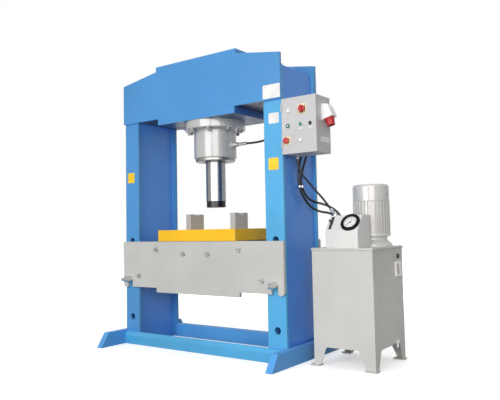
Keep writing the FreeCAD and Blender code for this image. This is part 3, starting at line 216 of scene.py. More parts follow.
# %% [markdown]
# ## Scuffs
# Scuffs are hair-thin curves. Each could be drawn, but there are hundreds. The line where a
# distorted noise passes through its middle value is such a curve, and a second noise decides where
# there are any at all.

# %% Group: light scuffs
SCUFF_WIDTH = 0.0045

scuffs, given, out = new_group(
    "light_scuffs", [("Position", "Vector", (0, 0, 0)), ("Scale", "Float", 9.0)], ["Mask"])
strands = noise(scuffs, given["Position"], given["Scale"], 1.5, distortion=1.8)
off_middle = calc(scuffs, "ABSOLUTE", calc(scuffs, "SUBTRACT", strands, 0.5))
thin = ramp(scuffs, off_middle, 0.0, SCUFF_WIDTH, 1.0, 0.0)
where = ramp(scuffs, noise(scuffs, given["Position"], 3.1, 2.0), 0.52, 0.7)
fill(scuffs, out, {"Mask": calc(scuffs, "MULTIPLY", thin, where)})
print("group", scuffs.name)

# %% [markdown]
# ## Drawn and turned metal
# Machined steel carries fine lines along the tool's path. An anisotropic shader would stretch the
# shine but show no lines. Noise squeezed along one axis shows them: squeezed in Z for a turned
# piece, whose lines run round it, and left slow in Y for a pin that is drawn along Y. Small plated
# pieces are squeezed alike on all axes, which leaves a fine even grain.

# %% Group: tool lines
tool_lines, given, out = new_group(
    "tool_lines", [("Position", "Vector", (0, 0, 0)), ("Stretch", "Vector", (1, 1, 1))],
    ["Height", "Tone"])
pulled = vector_calc(tool_lines, "MULTIPLY", given["Position"], given["Stretch"]).outputs[0]
fine = noise(tool_lines, pulled, 1.0, 5.0)
broad = noise(tool_lines, given["Position"], 14.0, 3.0)
tone = calc(tool_lines, "ADD", calc(tool_lines, "MULTIPLY", fine, 0.6),
            calc(tool_lines, "MULTIPLY", broad, 0.4))
fill(tool_lines, out, {"Height": fine, "Tone": tone})
print("group", tool_lines.name)

# %% [markdown]
# ## Painted steel
# Each finish is a function that builds one material, because a plate can then be told its own box,
# and its rims wear. Two things follow the slant, which is the upward part of the normal. Faces that
# look up are matt with dust: a glossy top, seen flat, would mirror the lamps and vanish into the
# white behind it. Faces that look down inside the crown get painted shade: their colour is darkened
# towards blue-black, standing in for the shadow there.

# %% Painted steel
LOOKS_UP = (0.55, 0.95)
LOOKS_DOWN = (-0.9, -0.5)
THIN_COAT = 0.93
THICK_COAT = 1.05
SCUFF_SHADE = 0.62
RIM_WEAR = 0.75
# Dark blue-black painted shade for faces that look down.
PAINTED_UNDER_SHADE = (0.010, 0.014, 0.034, 1.0)
SETTLED_DUST = (0.50, 0.47, 0.43, 1.0)


def shade(colour, factor):
    """A colour made darker or lighter, as four numbers."""
    return tuple(min(1.0, channel * factor) for channel in colour) + (1.0,)


def painted(name, colour, roughness=0.34, peel=420.0, rise=0.00022, dusty=0.3, scuffed=0.3, plate=None,
            bare=(0.30, 0.30, 0.31), coat=0.25, coat_rough=0.2, coat_ior=1.5, under_shade=0.0):
    """Sprayed paint; plate is a pair of box corners whose rims wear; the last argument paints shade onto
    faces that look down.
    """
    material, tree, shader, place = new_material(name)
    skin = use(tree, sprayed, Position=place["Object"], Peel=peel)
    film = use(tree, dust, Position=place["Object"], Normal=place["Normal"], Amount=dusty)
    marks = use(tree, scuffs, Position=place["Object"])
    slant = put(tree, "ShaderNodeSeparateXYZ", {0: place["Normal"]}).outputs[2]
    body = blend_colour(tree, skin["Tone"], shade(colour, THIN_COAT), shade(colour, THICK_COAT))
    scuff_share = calc(tree, "MULTIPLY", marks["Mask"], scuffed)
    body = blend_colour(tree, scuff_share, body, shade(colour, SCUFF_SHADE))
    if plate:
        worn = use(tree, rims, Position=place["Object"], Low=tuple(plate[0]), High=tuple(plate[1]))
        body = blend_colour(tree, calc(tree, "MULTIPLY", worn["Mask"], RIM_WEAR), body, shade(bare, 1.0))
    # Painted shade: faces that look down are blended towards dark blue-black.
    if under_shade:
        body = blend_colour(tree, ramp(tree, slant, *LOOKS_DOWN, under_shade, 0.0), body, PAINTED_UNDER_SHADE)
    gloss = ramp(tree, skin["Gloss"], 0.0, 1.0, roughness - 0.05, roughness + 0.07)
    fill(tree, shader, {
        "Base Color": blend_colour(tree, film["Mask"], body, SETTLED_DUST),
        "Roughness": calc(tree, "ADD", gloss, calc(tree, "MULTIPLY", film["Mask"], 0.5)),
        "Normal": bump(tree, skin["Height"], rise, 0.7),
        "Specular IOR Level": ramp(tree, slant, *LOOKS_UP, 0.5, 0.08),
        "Coat Weight": ramp(tree, slant, *LOOKS_UP, coat, 0.0) if coat else 0.0,
        "Coat Roughness": coat_rough,
        "Coat IOR": coat_ior})
    return material


print("painted steel ready")

# %% [markdown]
# ## Bare metal
# Bare metal is a fully metallic shader whose roughness follows the tool lines. A thin film of oil
# darkens it here and there, which keeps large turned faces from looking like mirrors.

# %% Bare metal
def metal(name, colour, roughness, stretch, oily=0.25):
    """Machined or plated metal; stretch is how often its lines repeat along each axis in a metre."""
    material, tree, shader, place = new_material(name)
    lines = use(tree, tool_lines, Position=place["Object"], Stretch=stretch)
    marks = use(tree, scuffs, Position=place["Object"], Scale=16.0)
    body = blend_colour(tree, lines["Tone"], shade(colour, 1.0 - oily), shade(colour, 1.06))
    fill(tree, shader, {
        "Base Color": blend_colour(tree, calc(tree, "MULTIPLY", marks["Mask"], 0.3), body,
                                   shade(colour, 0.5)),
        "Roughness": ramp(tree, lines["Tone"], 0.25, 0.75, roughness * 0.75, roughness * 1.3),
        "Normal": bump(tree, lines["Height"], 0.00004),
        "Metallic": 1.0})
    return material


print("bare metal ready")

# %% [markdown]
# ## Moulded plastic
# Switches, buttons and plugs are moulded, with a fine grain that the mould gives them. It is the
# sprayed group again with a finer peel, so one group serves paint and plastic. A low refractive
# index makes a black that hardly shines.

# %% Moulded plastic
PLASTIC_DUST = (0.45, 0.43, 0.40, 1.0)


def moulded(name, colour, roughness=0.4, grain=900.0, rise=0.00006, dusty=0.15, coat=0.0, ior=1.5):
    """Moulded plastic: a fine even grain, with a little dust on what faces up."""
    material, tree, shader, place = new_material(name)
    skin = use(tree, sprayed, Position=place["Object"], Peel=grain, Patch=12.0)
    film = use(tree, dust, Position=place["Object"], Normal=place["Normal"], Amount=dusty)
    body = blend_colour(tree, skin["Tone"], shade(colour, 0.88), shade(colour, 1.08))
    fill(tree, shader, {
        "Base Color": blend_colour(tree, film["Mask"], body, PLASTIC_DUST),
        "Roughness": ramp(tree, skin["Gloss"], 0.0, 1.0, roughness * 0.85, roughness * 1.2),
        "Normal": bump(tree, skin["Height"], rise),
        "IOR": ior,
        "Coat Weight": coat})
    return material


print("moulded plastic ready")

# %% [markdown]
# ## Finishes of the press frame
# The frame is sky-blue machine enamel. In the photograph the blue runs from greener on the right
# upright's front to violet on the webs. The plain lamps of this stage don't give that, so the parts
# have tones of their own, as linear values matched to the photograph. These tones are painted light
# and shade: the right upright, the crossbars and the feet are lighter copies of the blue, and the
# webs and the seat plate are violet and darker copies. Every plate gets its own material, because it
# wears along its own rims. The crown's plates are welded flush, so they share one box, and the seam
# between them doesn't wear.

# %% Dress the frame
BLUE = (0.060, 0.272, 0.60)
# Lighter copies of the blue are painted light; darker and violet copies are painted shade.
UPRIGHT_BLUE_LIT = (0.073, 0.385, 0.70)
REAR_BLUE_LIT = (0.088, 0.360, 0.80)
FOOT_BLUE_LIT = (0.080, 0.330, 0.72)
WEB_BLUE_SHADED = (0.078, 0.280, 0.78)
SEAT_BLUE_SHADED = (0.048, 0.150, 0.42)
WORN_BLUE = (0.20, 0.24, 0.30)
FRAME_COAT = {"dusty": 0.12, "coat": 0.1}


def dress(material, *nodes):
    """Give CAD nodes a material in place of the one they came with."""
    for node in nodes:
        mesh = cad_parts[node].data
        mesh.materials.clear()
        mesh.materials.append(material)


CROWN = ("crown_front_plate", "crown_rear_plate", "crown_cap_plate")
crown_corners = np.array([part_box(node) for node in CROWN])
crown_box = (crown_corners[:, 0].min(axis=0), crown_corners[:, 1].max(axis=0))
LIT_TONES = {"right_side_plates": UPRIGHT_BLUE_LIT, "front_crossbar": UPRIGHT_BLUE_LIT, "rear_crossbar": REAR_BLUE_LIT}
for node in CROWN + ("left_side_plates", "right_side_plates", "front_crossbar", "rear_crossbar"):
    box = crown_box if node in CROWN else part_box(node)
    dress(painted("blue_" + node, LIT_TONES.get(node, BLUE), plate=box, bare=WORN_BLUE, **FRAME_COAT), node)
# The seat plate is a darker copy of the blue, painted shade, with more painted shade below.
dress(painted("blue_seat", SEAT_BLUE_SHADED, under_shade=0.5, **FRAME_COAT), "crown_seat_plate")
dress(painted("blue_feet", FOOT_BLUE_LIT, **FRAME_COAT), "feet")
# The webs are a violet copy of the blue: painted shade.
shaded_web_coat = painted("blue_webs", WEB_BLUE_SHADED, **FRAME_COAT)
dress(shaded_web_coat, "left_webs", "right_webs")
# The crown's inner plates carry the violet painted shade, and nearly black painted shade below.
dress(painted("blue_inner_plates", WEB_BLUE_SHADED, under_shade=0.97, **FRAME_COAT), "crown_inner_plates")
print("frame dressed")

# %% [markdown]
# ## Finishes of the table
# The table is light grey enamel, the V-blocks a duller grey, and the loose platen bright yellow.
# The platen is scuffed by the work that is pushed over it, so it has more scuffs and no dust to
# speak of, which is told to the same paint function rather than made as a new one.

# %% Dress the table
GREY = (0.525, 0.53, 0.515)
BLOCK_GREY = (0.42, 0.43, 0.43)
PLATEN_YELLOW = (0.92, 0.52, 0.006)

for node in ("table_front_plate", "table_rear_plate"):
    dress(painted("grey_" + node, GREY, plate=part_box(node), roughness=0.38), node)
dress(painted("grey_enamel", GREY), "table_spacers")
dress(painted("grey_blocks", BLOCK_GREY, plate=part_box("v_blocks"), roughness=0.45), "v_blocks")
dress(painted("yellow_platen", PLATEN_YELLOW, plate=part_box("platen"), scuffed=0.5, dusty=0.05, coat=0.0),
      "platen")
print("table dressed")

# %% [markdown]
# ## Finishes of the cylinder and the moving steel
# The cylinder is sprayed grey over its machining, with a deep gloss that draws one sharp highlight.
# The rod is hard chrome, the nose dark from oil, the pins ground steel. The rod's lines run round
# it, so they are squeezed in Z. The hard pipe is plated, and its bend in the crown is painted with
# the frame: the paint is blended in by height, which leaves the pipe one piece.

# %% Dress the cylinder, pins and fasteners
DEEP_GLOSS = {"roughness": 0.3, "coat": 0.9, "coat_rough": 0.07, "coat_ior": 1.75}
EVEN = (120, 120, 120)
ROUND_Z = (30, 30, 900)
PAINTED_FROM = 1.84
PAINTED_ABOVE = 1.88


def overspray(material, colour, low, high):
    """Paint over the bare metal above a height, as a pipe that was sprayed with the crown."""
    tree = material.node_tree
    shader = tree.nodes["Principled BSDF"]
    place = put(tree, "ShaderNodeTexCoord", {}).outputs
    height = put(tree, "ShaderNodeSeparateXYZ", {0: place["Object"]}).outputs[2]
    covered = ramp(tree, height, low, high)
    metal_colour = shader.inputs["Base Color"].links[0].from_socket
    fill(tree, shader, {"Base Color": blend_colour(tree, covered, metal_colour, shade(colour, 1.0)),
                        "Metallic": calc(tree, "SUBTRACT", 1.0, covered)})


dress(painted("grey_cylinder", (0.45, 0.46, 0.445), dusty=0.1, **DEEP_GLOSS), "cylinder_barrel")
dress(metal("turned_gland", (0.42, 0.42, 0.41), 0.36, ROUND_Z), "cylinder_gland")
dress(metal("hard_chrome", (0.36, 0.365, 0.38), 0.25, (40, 40, 1400), oily=0.12), "ram_rod")
dress(metal("oiled_nose", (0.055, 0.055, 0.06), 0.3, ROUND_Z), "ram_nose")
dress(metal("turned_piston", (0.5, 0.5, 0.5), 0.35, ROUND_Z), "piston")
pipe_zinc = metal("zinc_plate", (0.60, 0.61, 0.62), 0.34, EVEN)
overspray(pipe_zinc, BLUE, PAINTED_FROM, PAINTED_ABOVE)
dress(pipe_zinc, "pipework")
dress(metal("dark_bolts", (0.45, 0.45, 0.45), 0.4, EVEN), "flange_bolts")
dress(metal("tap_chrome", (0.93, 0.93, 0.94), 0.22, EVEN, oily=0.1), "drain_valve", "drain_handle")
dress(metal("dull_steel", (0.54, 0.54, 0.53), 0.4, EVEN), "table_bolts")
dress(metal("ground_pin", (0.74, 0.74, 0.73), 0.3, (500, 20, 500)), "support_pin_left", "support_pin_right")
print("steel dressed")

# %% [markdown]
# ## Finishes of the control box
# The box is light grey textured powder, with a finer and deeper grain than sprayed enamel. Switches
# and buttons are moulded in their signal colours. Each colour is a material of its own, and pieces
# that come from the same mould share one.

# %% Dress the control box
powder = painted("powder_grey", (0.52, 0.52, 0.535), roughness=0.46, peel=700.0, rise=0.0003, dusty=0.2,
                 coat=0.0)
dress(powder, "control_box", "control_door")
dress(metal("zinc_panel", (0.55, 0.56, 0.56), 0.35, (60, 60, 600)), "mounting_plate")
dress(moulded("device_grey", (0.10, 0.105, 0.11), 0.5), "switchgear", "motor_fan")
dress(moulded("signal_yellow", (0.86, 0.74, 0.36)), "main_switch_plate")
red = moulded("signal_red", (0.52, 0.016, 0.020), 0.28, coat=0.2)
dress(red, "main_switch_knob", "emergency_stop")
dress(moulded("connector_red", (0.42, 0.012, 0.016), 0.42), "inlet_socket")
dress(moulded("connector_white", (0.88, 0.88, 0.87), dusty=0.05), "inlet_housing")
black = moulded("black_moulding", (0.018, 0.018, 0.019), 0.42)
dress(black, "key_lock", "filler_cap", "lever_mount", "valve_lever")
dress(moulded("bezel_silver", (0.62, 0.63, 0.65), 0.3, coat=0.3), "control_bezels")
teal = moulded("dark_teal", (0.012, 0.115, 0.095), 0.35)
dress(teal, "start_button")
dress(moulded("selector_green", (0.06, 0.24, 0.17), 0.3, coat=0.2), "selector_knob")
dress(moulded("push_white", (0.78, 0.78, 0.76), 0.3, coat=0.2), "stop_button")
dress(moulded("lamp_lens", (0.88, 0.88, 0.84), 0.12, grain=60.0, coat=0.4), "signal_lamp")
print("control box dressed")

# %% [markdown]
# ## Finishes of the power unit
# The tank carries a warm pale grey. The motor and its cowl are enamelled with the deep gloss of the
# cylinder. The gauge's case is a dull black, and the level gauge a white moulding.

# %% Dress the power unit
TANK = (0.565, 0.565, 0.54)

tank_coat = painted("tank_enamel", TANK, roughness=0.4, dusty=0.15, coat=0.08)
dress(tank_coat, "tank_body")
dress(painted("cowl_enamel", (0.53, 0.53, 0.515), dusty=0.05, **DEEP_GLOSS), "fan_cowl")
dress(painted("motor_enamel", (0.63, 0.63, 0.605), roughness=0.3, dusty=0.05, coat=0.8, coat_rough=0.09,
              coat_ior=1.6), "motor_body")
dress(painted("lid_enamel", TANK, plate=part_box("tank_lid"), roughness=0.36), "tank_lid")
dress(painted("housing_enamel", (0.68, 0.68, 0.67), roughness=0.38, dusty=0.1), "gauge_housing")
dress(moulded("gauge_black", (0.005, 0.005, 0.006), 0.5, dusty=0.0, ior=1.25), "gauge_case")
dress(moulded("needle_black", (0.012, 0.012, 0.012), 0.35), "gauge_needle")
dress(moulded("level_white", (0.93, 0.93, 0.93), 0.3, dusty=0.0), "level_gauge")
print("power unit dressed")

# %% [markdown]
# ## Surfaces from numbers
# Each new piece is a grid of points: rows along one parameter, columns along another. It could be
# built by hand from cylinders and bevels, but a grid worked out from a formula is exact, and its
# measures can be read in the script. The helper turns whole arrays into a mesh, closes the grid
# where it meets itself, and lets several grids share one piece. The press's centre line stands at
# X = -0.259 m, and the measures below are given from there, so one function moves them into place.

# %% From arrays to pieces
PRESS_X = -0.259


def at(x, y, z):
    """Millimetres from the press's centre line to metres in the frame."""
    return np.array([x / 1000 + PRESS_X, y / 1000, z / 1000])


def add_object(name, data):
    """Put new data into the scene as an object at the origin, unturned."""
    thing = bpy.data.objects.new(name, data)
    bpy.context.scene.collection.objects.link(thing)
    return thing


def grid_faces(rows, columns, wrap_rows=False, wrap_columns=True):
    """Four corner numbers for every cell of a grid: row x columns + column, and its neighbours."""
    r = np.arange(rows if wrap_rows else rows - 1)[:, None]
    c = np.arange(columns if wrap_columns else columns - 1)[None, :]
    r2 = (r + 1) % rows
    c2 = (c + 1) % columns
    corners = [r * columns + c, r * columns + c2, r2 * columns + c2, r2 * columns + c]
    return np.stack([np.broadcast_to(k, (r.shape[0], c.shape[1])) for k in corners], -1).reshape(-1, 4)


def piece(name, grids, material, body, smooth=True):
    """One object from a list of (points, wrap_rows, wrap_columns); points is rows x columns x 3."""
    points, faces, start = [], [], 0
    for grid, wrap_rows, wrap_columns in grids:
        rows, columns = grid.shape[:2]
        points.append(grid.reshape(-1, 3))
        faces.append(grid_faces(rows, columns, wrap_rows, wrap_columns) + start)
        start += rows * columns
    mesh = bpy.data.meshes.new(name)
    mesh.from_pydata(np.concatenate(points).tolist(), [], np.concatenate(faces).tolist())
    mesh.polygons.foreach_set("use_smooth", np.full(len(mesh.polygons), smooth))
    mesh.materials.append(material)
    thing = add_object(name, mesh)
    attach(thing, body)
    return thing


print("pieces can be made")

# %% [markdown]
# A grid that closes on itself still has loose seams, and a profile that starts on its axis has a
# ring of points in one place. They are merged, and the faces are turned outwards. Folds sharper
# than 35 degrees stay sharp, while the rest is shaded smooth.

# %% Closing and sharpening meshes
MERGE_DISTANCE = 1e-6
SHARP_FROM = math.radians(35)


def tidy_mesh(thing):
    """Close seams and poles, and point every face outwards."""
    work = bmesh.new()
    work.from_mesh(thing.data)
    bmesh.ops.remove_doubles(work, verts=work.verts, dist=MERGE_DISTANCE)
    bmesh.ops.dissolve_degenerate(work, edges=work.edges, dist=MERGE_DISTANCE)
    bmesh.ops.recalc_face_normals(work, faces=work.faces)
    work.to_mesh(thing.data)
    work.free()
    return thing


def crisp(thing):
    """Keep sharp folds sharp, on an otherwise smooth piece."""
    thing.data.set_sharp_from_angle(angle=SHARP_FROM)
    return thing


def trim(name, grids, material, body):
    """A crisp, closed piece from its grids."""
    return tidy_mesh(crisp(piece(name, grids, material, body)))


print("mesh helpers ready")

# %% [markdown]
# Three shapes cover most of what follows. A turned shape carries a profile round an axis. A plaque
# carries a bevelled edge round a rectangle with rounded corners. A strip carries a small section
# along any path, and serves for the straps of the hose clamp.

# %% Turned shapes
def basis(direction):
    """The unit vector along a direction, and two across it."""
    axis = np.asarray(direction, float) / np.linalg.norm(direction)
    helper = np.array([0.0, 0.0, 1.0]) if abs(axis[2]) < 0.9 else np.array([1.0, 0.0, 0.0])
    side = np.cross(helper, axis)
    side /= np.linalg.norm(side)
    return axis, side, np.cross(axis, side)


def turned(profile, origin, direction, count=64):
    """Point = origin + height x axis + radius x (cos a, sin a) across it, for each profile row."""
    axis, side, up = basis(direction)
    radius, height = (np.array(column, float)[:, None, None] for column in zip(*profile))
    angle = np.linspace(0, 2 * math.pi, count, endpoint=False)[None, :, None]
    ring = np.cos(angle) * side + np.sin(angle) * up
    return np.asarray(origin) + height / 1000 * axis + radius / 1000 * ring, False, True


print("turned shapes ready")

# %% Plaques
def plaque(centre, across, up, width, height, thick, corner=2.0, bevel=0.4, count=9):
    """Rounded rectangle: corner centres plus corner radius x (cos a, sin a), drawn in for the bevel."""
    across = np.asarray(across, float)
    up = np.asarray(up, float)
    out_of = np.cross(across, up)
    turn = np.linspace(0, math.pi / 2, count)
    angle = np.concatenate([turn + quarter * math.pi / 2 for quarter in range(4)])
    sign_x = np.repeat([1, -1, -1, 1], count)
    sign_y = np.repeat([1, 1, -1, -1], count)
    rings = [np.broadcast_to(centre, (4 * count, 3))]
    for draw_in, level in ((0.0, 0.0), (0.0, thick - bevel), (bevel, thick)):
        x = sign_x * (width / 2 - corner) + (corner - draw_in) * np.cos(angle)
        y = sign_y * (height / 2 - corner) + (corner - draw_in) * np.sin(angle)
        rings.append(centre + (x[:, None] * across + y[:, None] * up + level * out_of) / 1000)
    rings.append(np.broadcast_to(centre + thick * out_of / 1000, (4 * count, 3)))
    return np.stack(rings), False, True


print("plaques ready")

# %% Strips
def strip(path, section, normal):
    """Each path point carries the section, measured across the path and along the normal; ends close."""
    path = np.asarray(path, float)
    along = np.gradient(path, axis=0)
    along /= np.linalg.norm(along, axis=1, keepdims=True)
    normal = np.broadcast_to(np.asarray(normal, float), path.shape)
    across = np.cross(along, normal)
    section = np.asarray(section, float) / 1000
    body = path[:, None] + section[None, :, :1] * across[:, None] + section[None, :, 1:] * normal[:, None]
    first = np.broadcast_to(body[0].mean(0), body[0].shape)
    last = np.broadcast_to(body[-1].mean(0), body[-1].shape)
    return np.concatenate([first[None], body, last[None]]), False, True


print("strips ready")

# %% [markdown]
# ## The camera
# The camera was solved from the straight edges of the press: where it stood, how far it was
# turned, tipped and rolled, and how long its lens was. Placed by eye, it would leave every edge a
# few pixels off. The middle of the solved picture lies a little off the frame's centre, which a
# small lens shift takes up.

# %% Camera
CAMERA_PLACE = (2.4695, -3.2941, 0.8379)
CAMERA_TURN = 0.62104
CAMERA_TIP = 0.065327
CAMERA_ROLL = -0.02034

eye = bpy.data.cameras.new("photo_lens")
eye.lens = 42.37
eye.sensor_width = 36.0
eye.shift_x = -0.0153
eye.shift_y = -0.0189
eye.clip_end = 60.0
camera = add_object("photo_camera", eye)
camera.matrix_world = (Matrix.Translation(CAMERA_PLACE) @ Matrix.Rotation(CAMERA_TURN, 4, "Z")
                       @ Matrix.Rotation(math.pi / 2 + CAMERA_TIP, 4, "X")
                       @ Matrix.Rotation(CAMERA_ROLL, 4, "Z"))
bpy.context.scene.camera = camera
print("camera at", tuple(round(value, 3) for value in camera.location))

# %% [markdown]
# ## The floor and the surroundings
# The stage is a plain pale floor that fades into white. A floor that bright would flood the press
# from below, so the Light Path node tells it who is looking: the camera sees it white, a shine sees
# half of the white, and light that bounces finds it grey. The world does the same. A shine that
# saw all of the white would wash out the dark sides of the rod.

# %% Floor and world
SHINE_SHARE = 0.5
WHITE = (1, 1, 1, 1)
FLOOR_REACH = 14
FLOOR_LINES = 29


def background_share(tree):
    """How much of the white background a ray sees: all of it straight or through glass, less in a shine."""
    path = put(tree, "ShaderNodeLightPath", {})
    clear_view = calc(tree, "MAXIMUM", path.outputs["Is Camera Ray"], path.outputs["Is Transmission Ray"])
    shine = calc(tree, "MULTIPLY", path.outputs["Is Glossy Ray"], SHINE_SHARE)
    return calc(tree, "MAXIMUM", clear_view, shine)


def backdrop_material(name, seen, lit, glow):
    """Near white where it is seen, with a glow that grows with distance; greyer to bounced light."""
    material, tree, shader, place = new_material(name)
    share = background_share(tree)
    distance = vector_calc(tree, "LENGTH", place["Object"]).outputs["Value"]
    glow_here = ramp(tree, distance, 1.4, 3.4, glow, 1.0)
    fill(tree, shader, {
        "Base Color": blend_colour(tree, share, (lit, lit, lit, 1.0), (seen, seen, seen, 1.0)),
        "Roughness": 0.9,
        "Emission Color": WHITE,
        "Emission Strength": calc(tree, "MULTIPLY", share, glow_here)})
    return material


edge = np.linspace(-FLOOR_REACH, FLOOR_REACH, FLOOR_LINES)
floor_grid = np.stack(np.meshgrid(edge, edge, [0.0], indexing="ij"), -1)[:, :, 0]
floor_faces = grid_faces(FLOOR_LINES, FLOOR_LINES, False, False)[:, ::-1]
floor_mesh = bpy.data.meshes.new("studio_floor")
floor_mesh.from_pydata(floor_grid.reshape(-1, 3).tolist(), [], floor_faces.tolist())
floor_mesh.materials.append(backdrop_material("pale_floor", 0.80, 0.22, 0.45))
floor = add_object("studio_floor", floor_mesh)

world = bpy.data.worlds.new("studio_air")
bpy.context.scene.world = world
world.use_nodes = True
air = world.node_tree
fill(air, air.nodes["Background"], {
    "Color": WHITE, "Strength": ramp(air, background_share(air), 0.0, 1.0, 0.40, 1.0)})
print("floor", floor.dimensions[:], "world", world.name)

# %% [markdown]
# ## The lamps
# The photograph was lit softly from the front left. A large lamp stands there, a smaller and
# slightly warm one fills the sides that face right, and weak ones keep the top and the rear
# readable. Large lamps give soft shadows, where small ones would draw hard lines. The rear lamp
# doesn't show in shines, because from the front it would put a bright rim on the cylinder.

# %% Lamps
def soft_lamp(name, location, target, size, watts, colour=(1, 1, 1)):
    """A square area lamp aimed at a point."""
    data = bpy.data.lights.new(name, "AREA")
    data.size = size
    data.energy = watts
    data.color = colour
    lamp = add_object(name, data)
    aim = Vector(target) - Vector(location)
    lamp.matrix_world = Matrix.Translation(location) @ aim.to_track_quat("-Z", "Y").to_matrix().to_4x4()
    return lamp


soft_lamp("front_key", (-0.1, -5.8, 2.2), (0.0, 0.0, 0.9), 3.8, 190.0)
soft_lamp("right_fill", (3.2, -4.0, 2.0), (0.3, 0.0, 0.9), 3.0, 106.0, (1.0, 0.955, 0.935))
soft_lamp("top_wash", (0.0, 0.6, 5.2), (0.0, 0.0, 1.0), 3.5, 70.0)
rear_wash = soft_lamp("rear_wash", (-1.6, 5.4, 2.6), (0.0, 0.0, 1.0), 3.0, 75.0)
rear_wash.visible_glossy = False
bpy.context.scene.view_settings.view_transform = "Standard"
print("lamps", len(bpy.data.lights))

# %% [markdown]
# ## The rubber of the hoses
# A hose has a black cover with faint bands, left by the cloth that it was wrapped in to cure. A
# wave pattern in the hose's own coordinates gives such bands without a map along the curve, and
# the sprayed group adds the grain.

# %% Hose rubber
def hose_finish(name, colour, pitch):
    """Rubber cover with faint bands from its wrapping cloth; a higher pitch sets them closer."""
    material, tree, shader, place = new_material(name)
    skin = use(tree, sprayed, Position=place["Object"], Peel=1300.0, Patch=20.0)
    stretched = put(tree, "ShaderNodeMapping",
                    {"Vector": place["Object"], "Scale": (pitch, pitch, pitch * 2)})
    wraps = put(tree, "ShaderNodeTexWave",
                {"Vector": stretched.outputs[0], "Scale": 1.0, "Distortion": 1.5})
    height = calc(tree, "ADD", calc(tree, "MULTIPLY", wraps.outputs[1], 0.5),
                  calc(tree, "MULTIPLY", skin["Height"], 0.5))
    fill(tree, shader, {
        "Base Color": blend_colour(tree, skin["Tone"], shade(colour, 0.75), shade(colour, 1.35)),
        "Roughness": ramp(tree, skin["Gloss"], 0.0, 1.0, 0.36, 0.55),
        "Normal": bump(tree, height, 0.0002)})
    return material


rubber = hose_finish("hose_cover", (0.010, 0.010, 0.011), 60.0)
print("hose rubber ready")

# %% [markdown]
# ## The routes of the hoses
# A hydraulic hose is stiff rubber over braid: it leaves its fitting straight, bends evenly and
# never kinks. A simulation could find how it hangs, but the photograph shows it already. So each
# route is a line of points read in the solved camera, the same that the CAD tube follows.

# %% Hose routes, in millimetres from the press's centre line
ROUTES = {
    "cylinder_hose": [
        (285.0, 0.0, 1440.0), (325.0, 0.5, 1438.5), (372.0, 2.5, 1439.0), (424.0, 4.5, 1444.0),
        (474.0, 3.5, 1453.5), (516.0, 1.2, 1464.0), (552.0, 0.0, 1473.0)],
    "feed_hose": [
        (741.0, 0.0, 1385.0), (741.0, -2.0, 1350.0), (741.0, -17.0, 1307.0), (740.5, -38.0, 1262.0),
        (739.5, -52.0, 1214.0), (738.5, -57.0, 1164.0), (738.5, -50.0, 1116.0), (739.5, -28.0, 1070.0),
        (742.0, 6.0, 1030.0), (746.0, 44.0, 997.0), (755.0, 77.0, 971.0), (782.0, 104.0, 951.2),
        (814.0, 118.0, 940.5), (846.0, 121.0, 937.0), (880.0, 116.0, 927.0), (905.0, 112.0, 909.0),
        (923.0, 110.0, 883.0), (932.0, 110.0, 855.0), (932.0, 110.0, 826.0)],
    "return_hose": [
        (741.0, 60.0, 1385.0), (741.0, 58.0, 1350.0), (741.0, 43.0, 1305.0), (741.0, 15.0, 1258.0),
        (740.5, -10.0, 1212.0), (740.0, -25.0, 1163.0), (740.5, -24.0, 1116.0), (742.0, 0.0, 1074.0),
        (745.0, 33.0, 1043.0), (751.0, 70.0, 1021.0), (766.0, 106.0, 1008.0), (793.0, 131.0, 999.0),
        (826.0, 146.0, 987.0), (858.0, 157.0, 970.0), (887.0, 166.0, 947.0), (910.0, 171.5, 920.0),
        (925.0, 174.5, 889.0), (932.0, 175.0, 857.0), (932.0, 175.0, 826.0)],
    "control_conduit": [
        (750.0, -84.0, 1281.0), (751.0, -83.0, 1251.0), (759.0, -75.0, 1213.0), (772.0, -58.0, 1177.0),
        (788.0, -32.0, 1144.0), (806.0, -6.0, 1110.0), (828.0, 15.0, 1073.0), (858.0, 25.0, 1037.0),
        (894.0, 20.5, 998.0), (935.2, 4.9, 954.2)],
}
print("routes", {name: len(points) for name, points in ROUTES.items()})

# %% [markdown]
# ## The hoses
# A bevelled curve keeps a hose round and evenly thick at every bend, and can still be edited. A
# smooth spline runs along the points, and its order is set after its points are there. Its line is
# measured before it gets its thickness, because the clamp has to find it.

# %% Hoses
# Name: thickness and length in metres, how it hangs, and what it is made of.
HOSE_FACTS = {
    "cylinder_hose": (0.015, 0.271, "taut", "hose_rubber"),
    "feed_hose": (0.015, 0.741, "hanging", "hose_rubber"),
    "return_hose": (0.015, 0.748, "hanging", "hose_rubber"),
    "control_conduit": (0.014, 0.413, "hanging", "black_plastic"),
}


def smooth_line(name):
    """An open spline through a route's control points, in metres."""
    data = bpy.data.curves.new(name, "CURVE")
    data.dimensions = "3D"
    data.resolution_u = 10
    route = ROUTES[name]
    spline = data.splines.new("NURBS")
    spline.points.add(len(route) - 1)
    for point, place in zip(spline.points, route):
        point.co = (*at(*place), 1.0)
    spline.order_u = 3
    spline.use_endpoint_u = True
    return data


hose_lines = {}
for name, (diameter, length, lay, slot) in HOSE_FACTS.items():
    data = smooth_line(name)
    hose = add_object(name + "_run", data)
    bare_line = bpy.data.meshes.new_from_object(hose)
    line = np.zeros(len(bare_line.vertices) * 3)
    bare_line.vertices.foreach_get("co", line)
    hose_lines[name] = line.reshape(-1, 3)
    data.bevel_depth = diameter / 2
    data.bevel_resolution = 6
    data.use_fill_caps = True
    data.materials.append(rubber)
    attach(hose, "frame")
    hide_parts(name)
    steps = np.diff(hose_lines[name], axis=0)
    print(name, "spline", round(float(np.linalg.norm(steps, axis=1).sum()), 4))

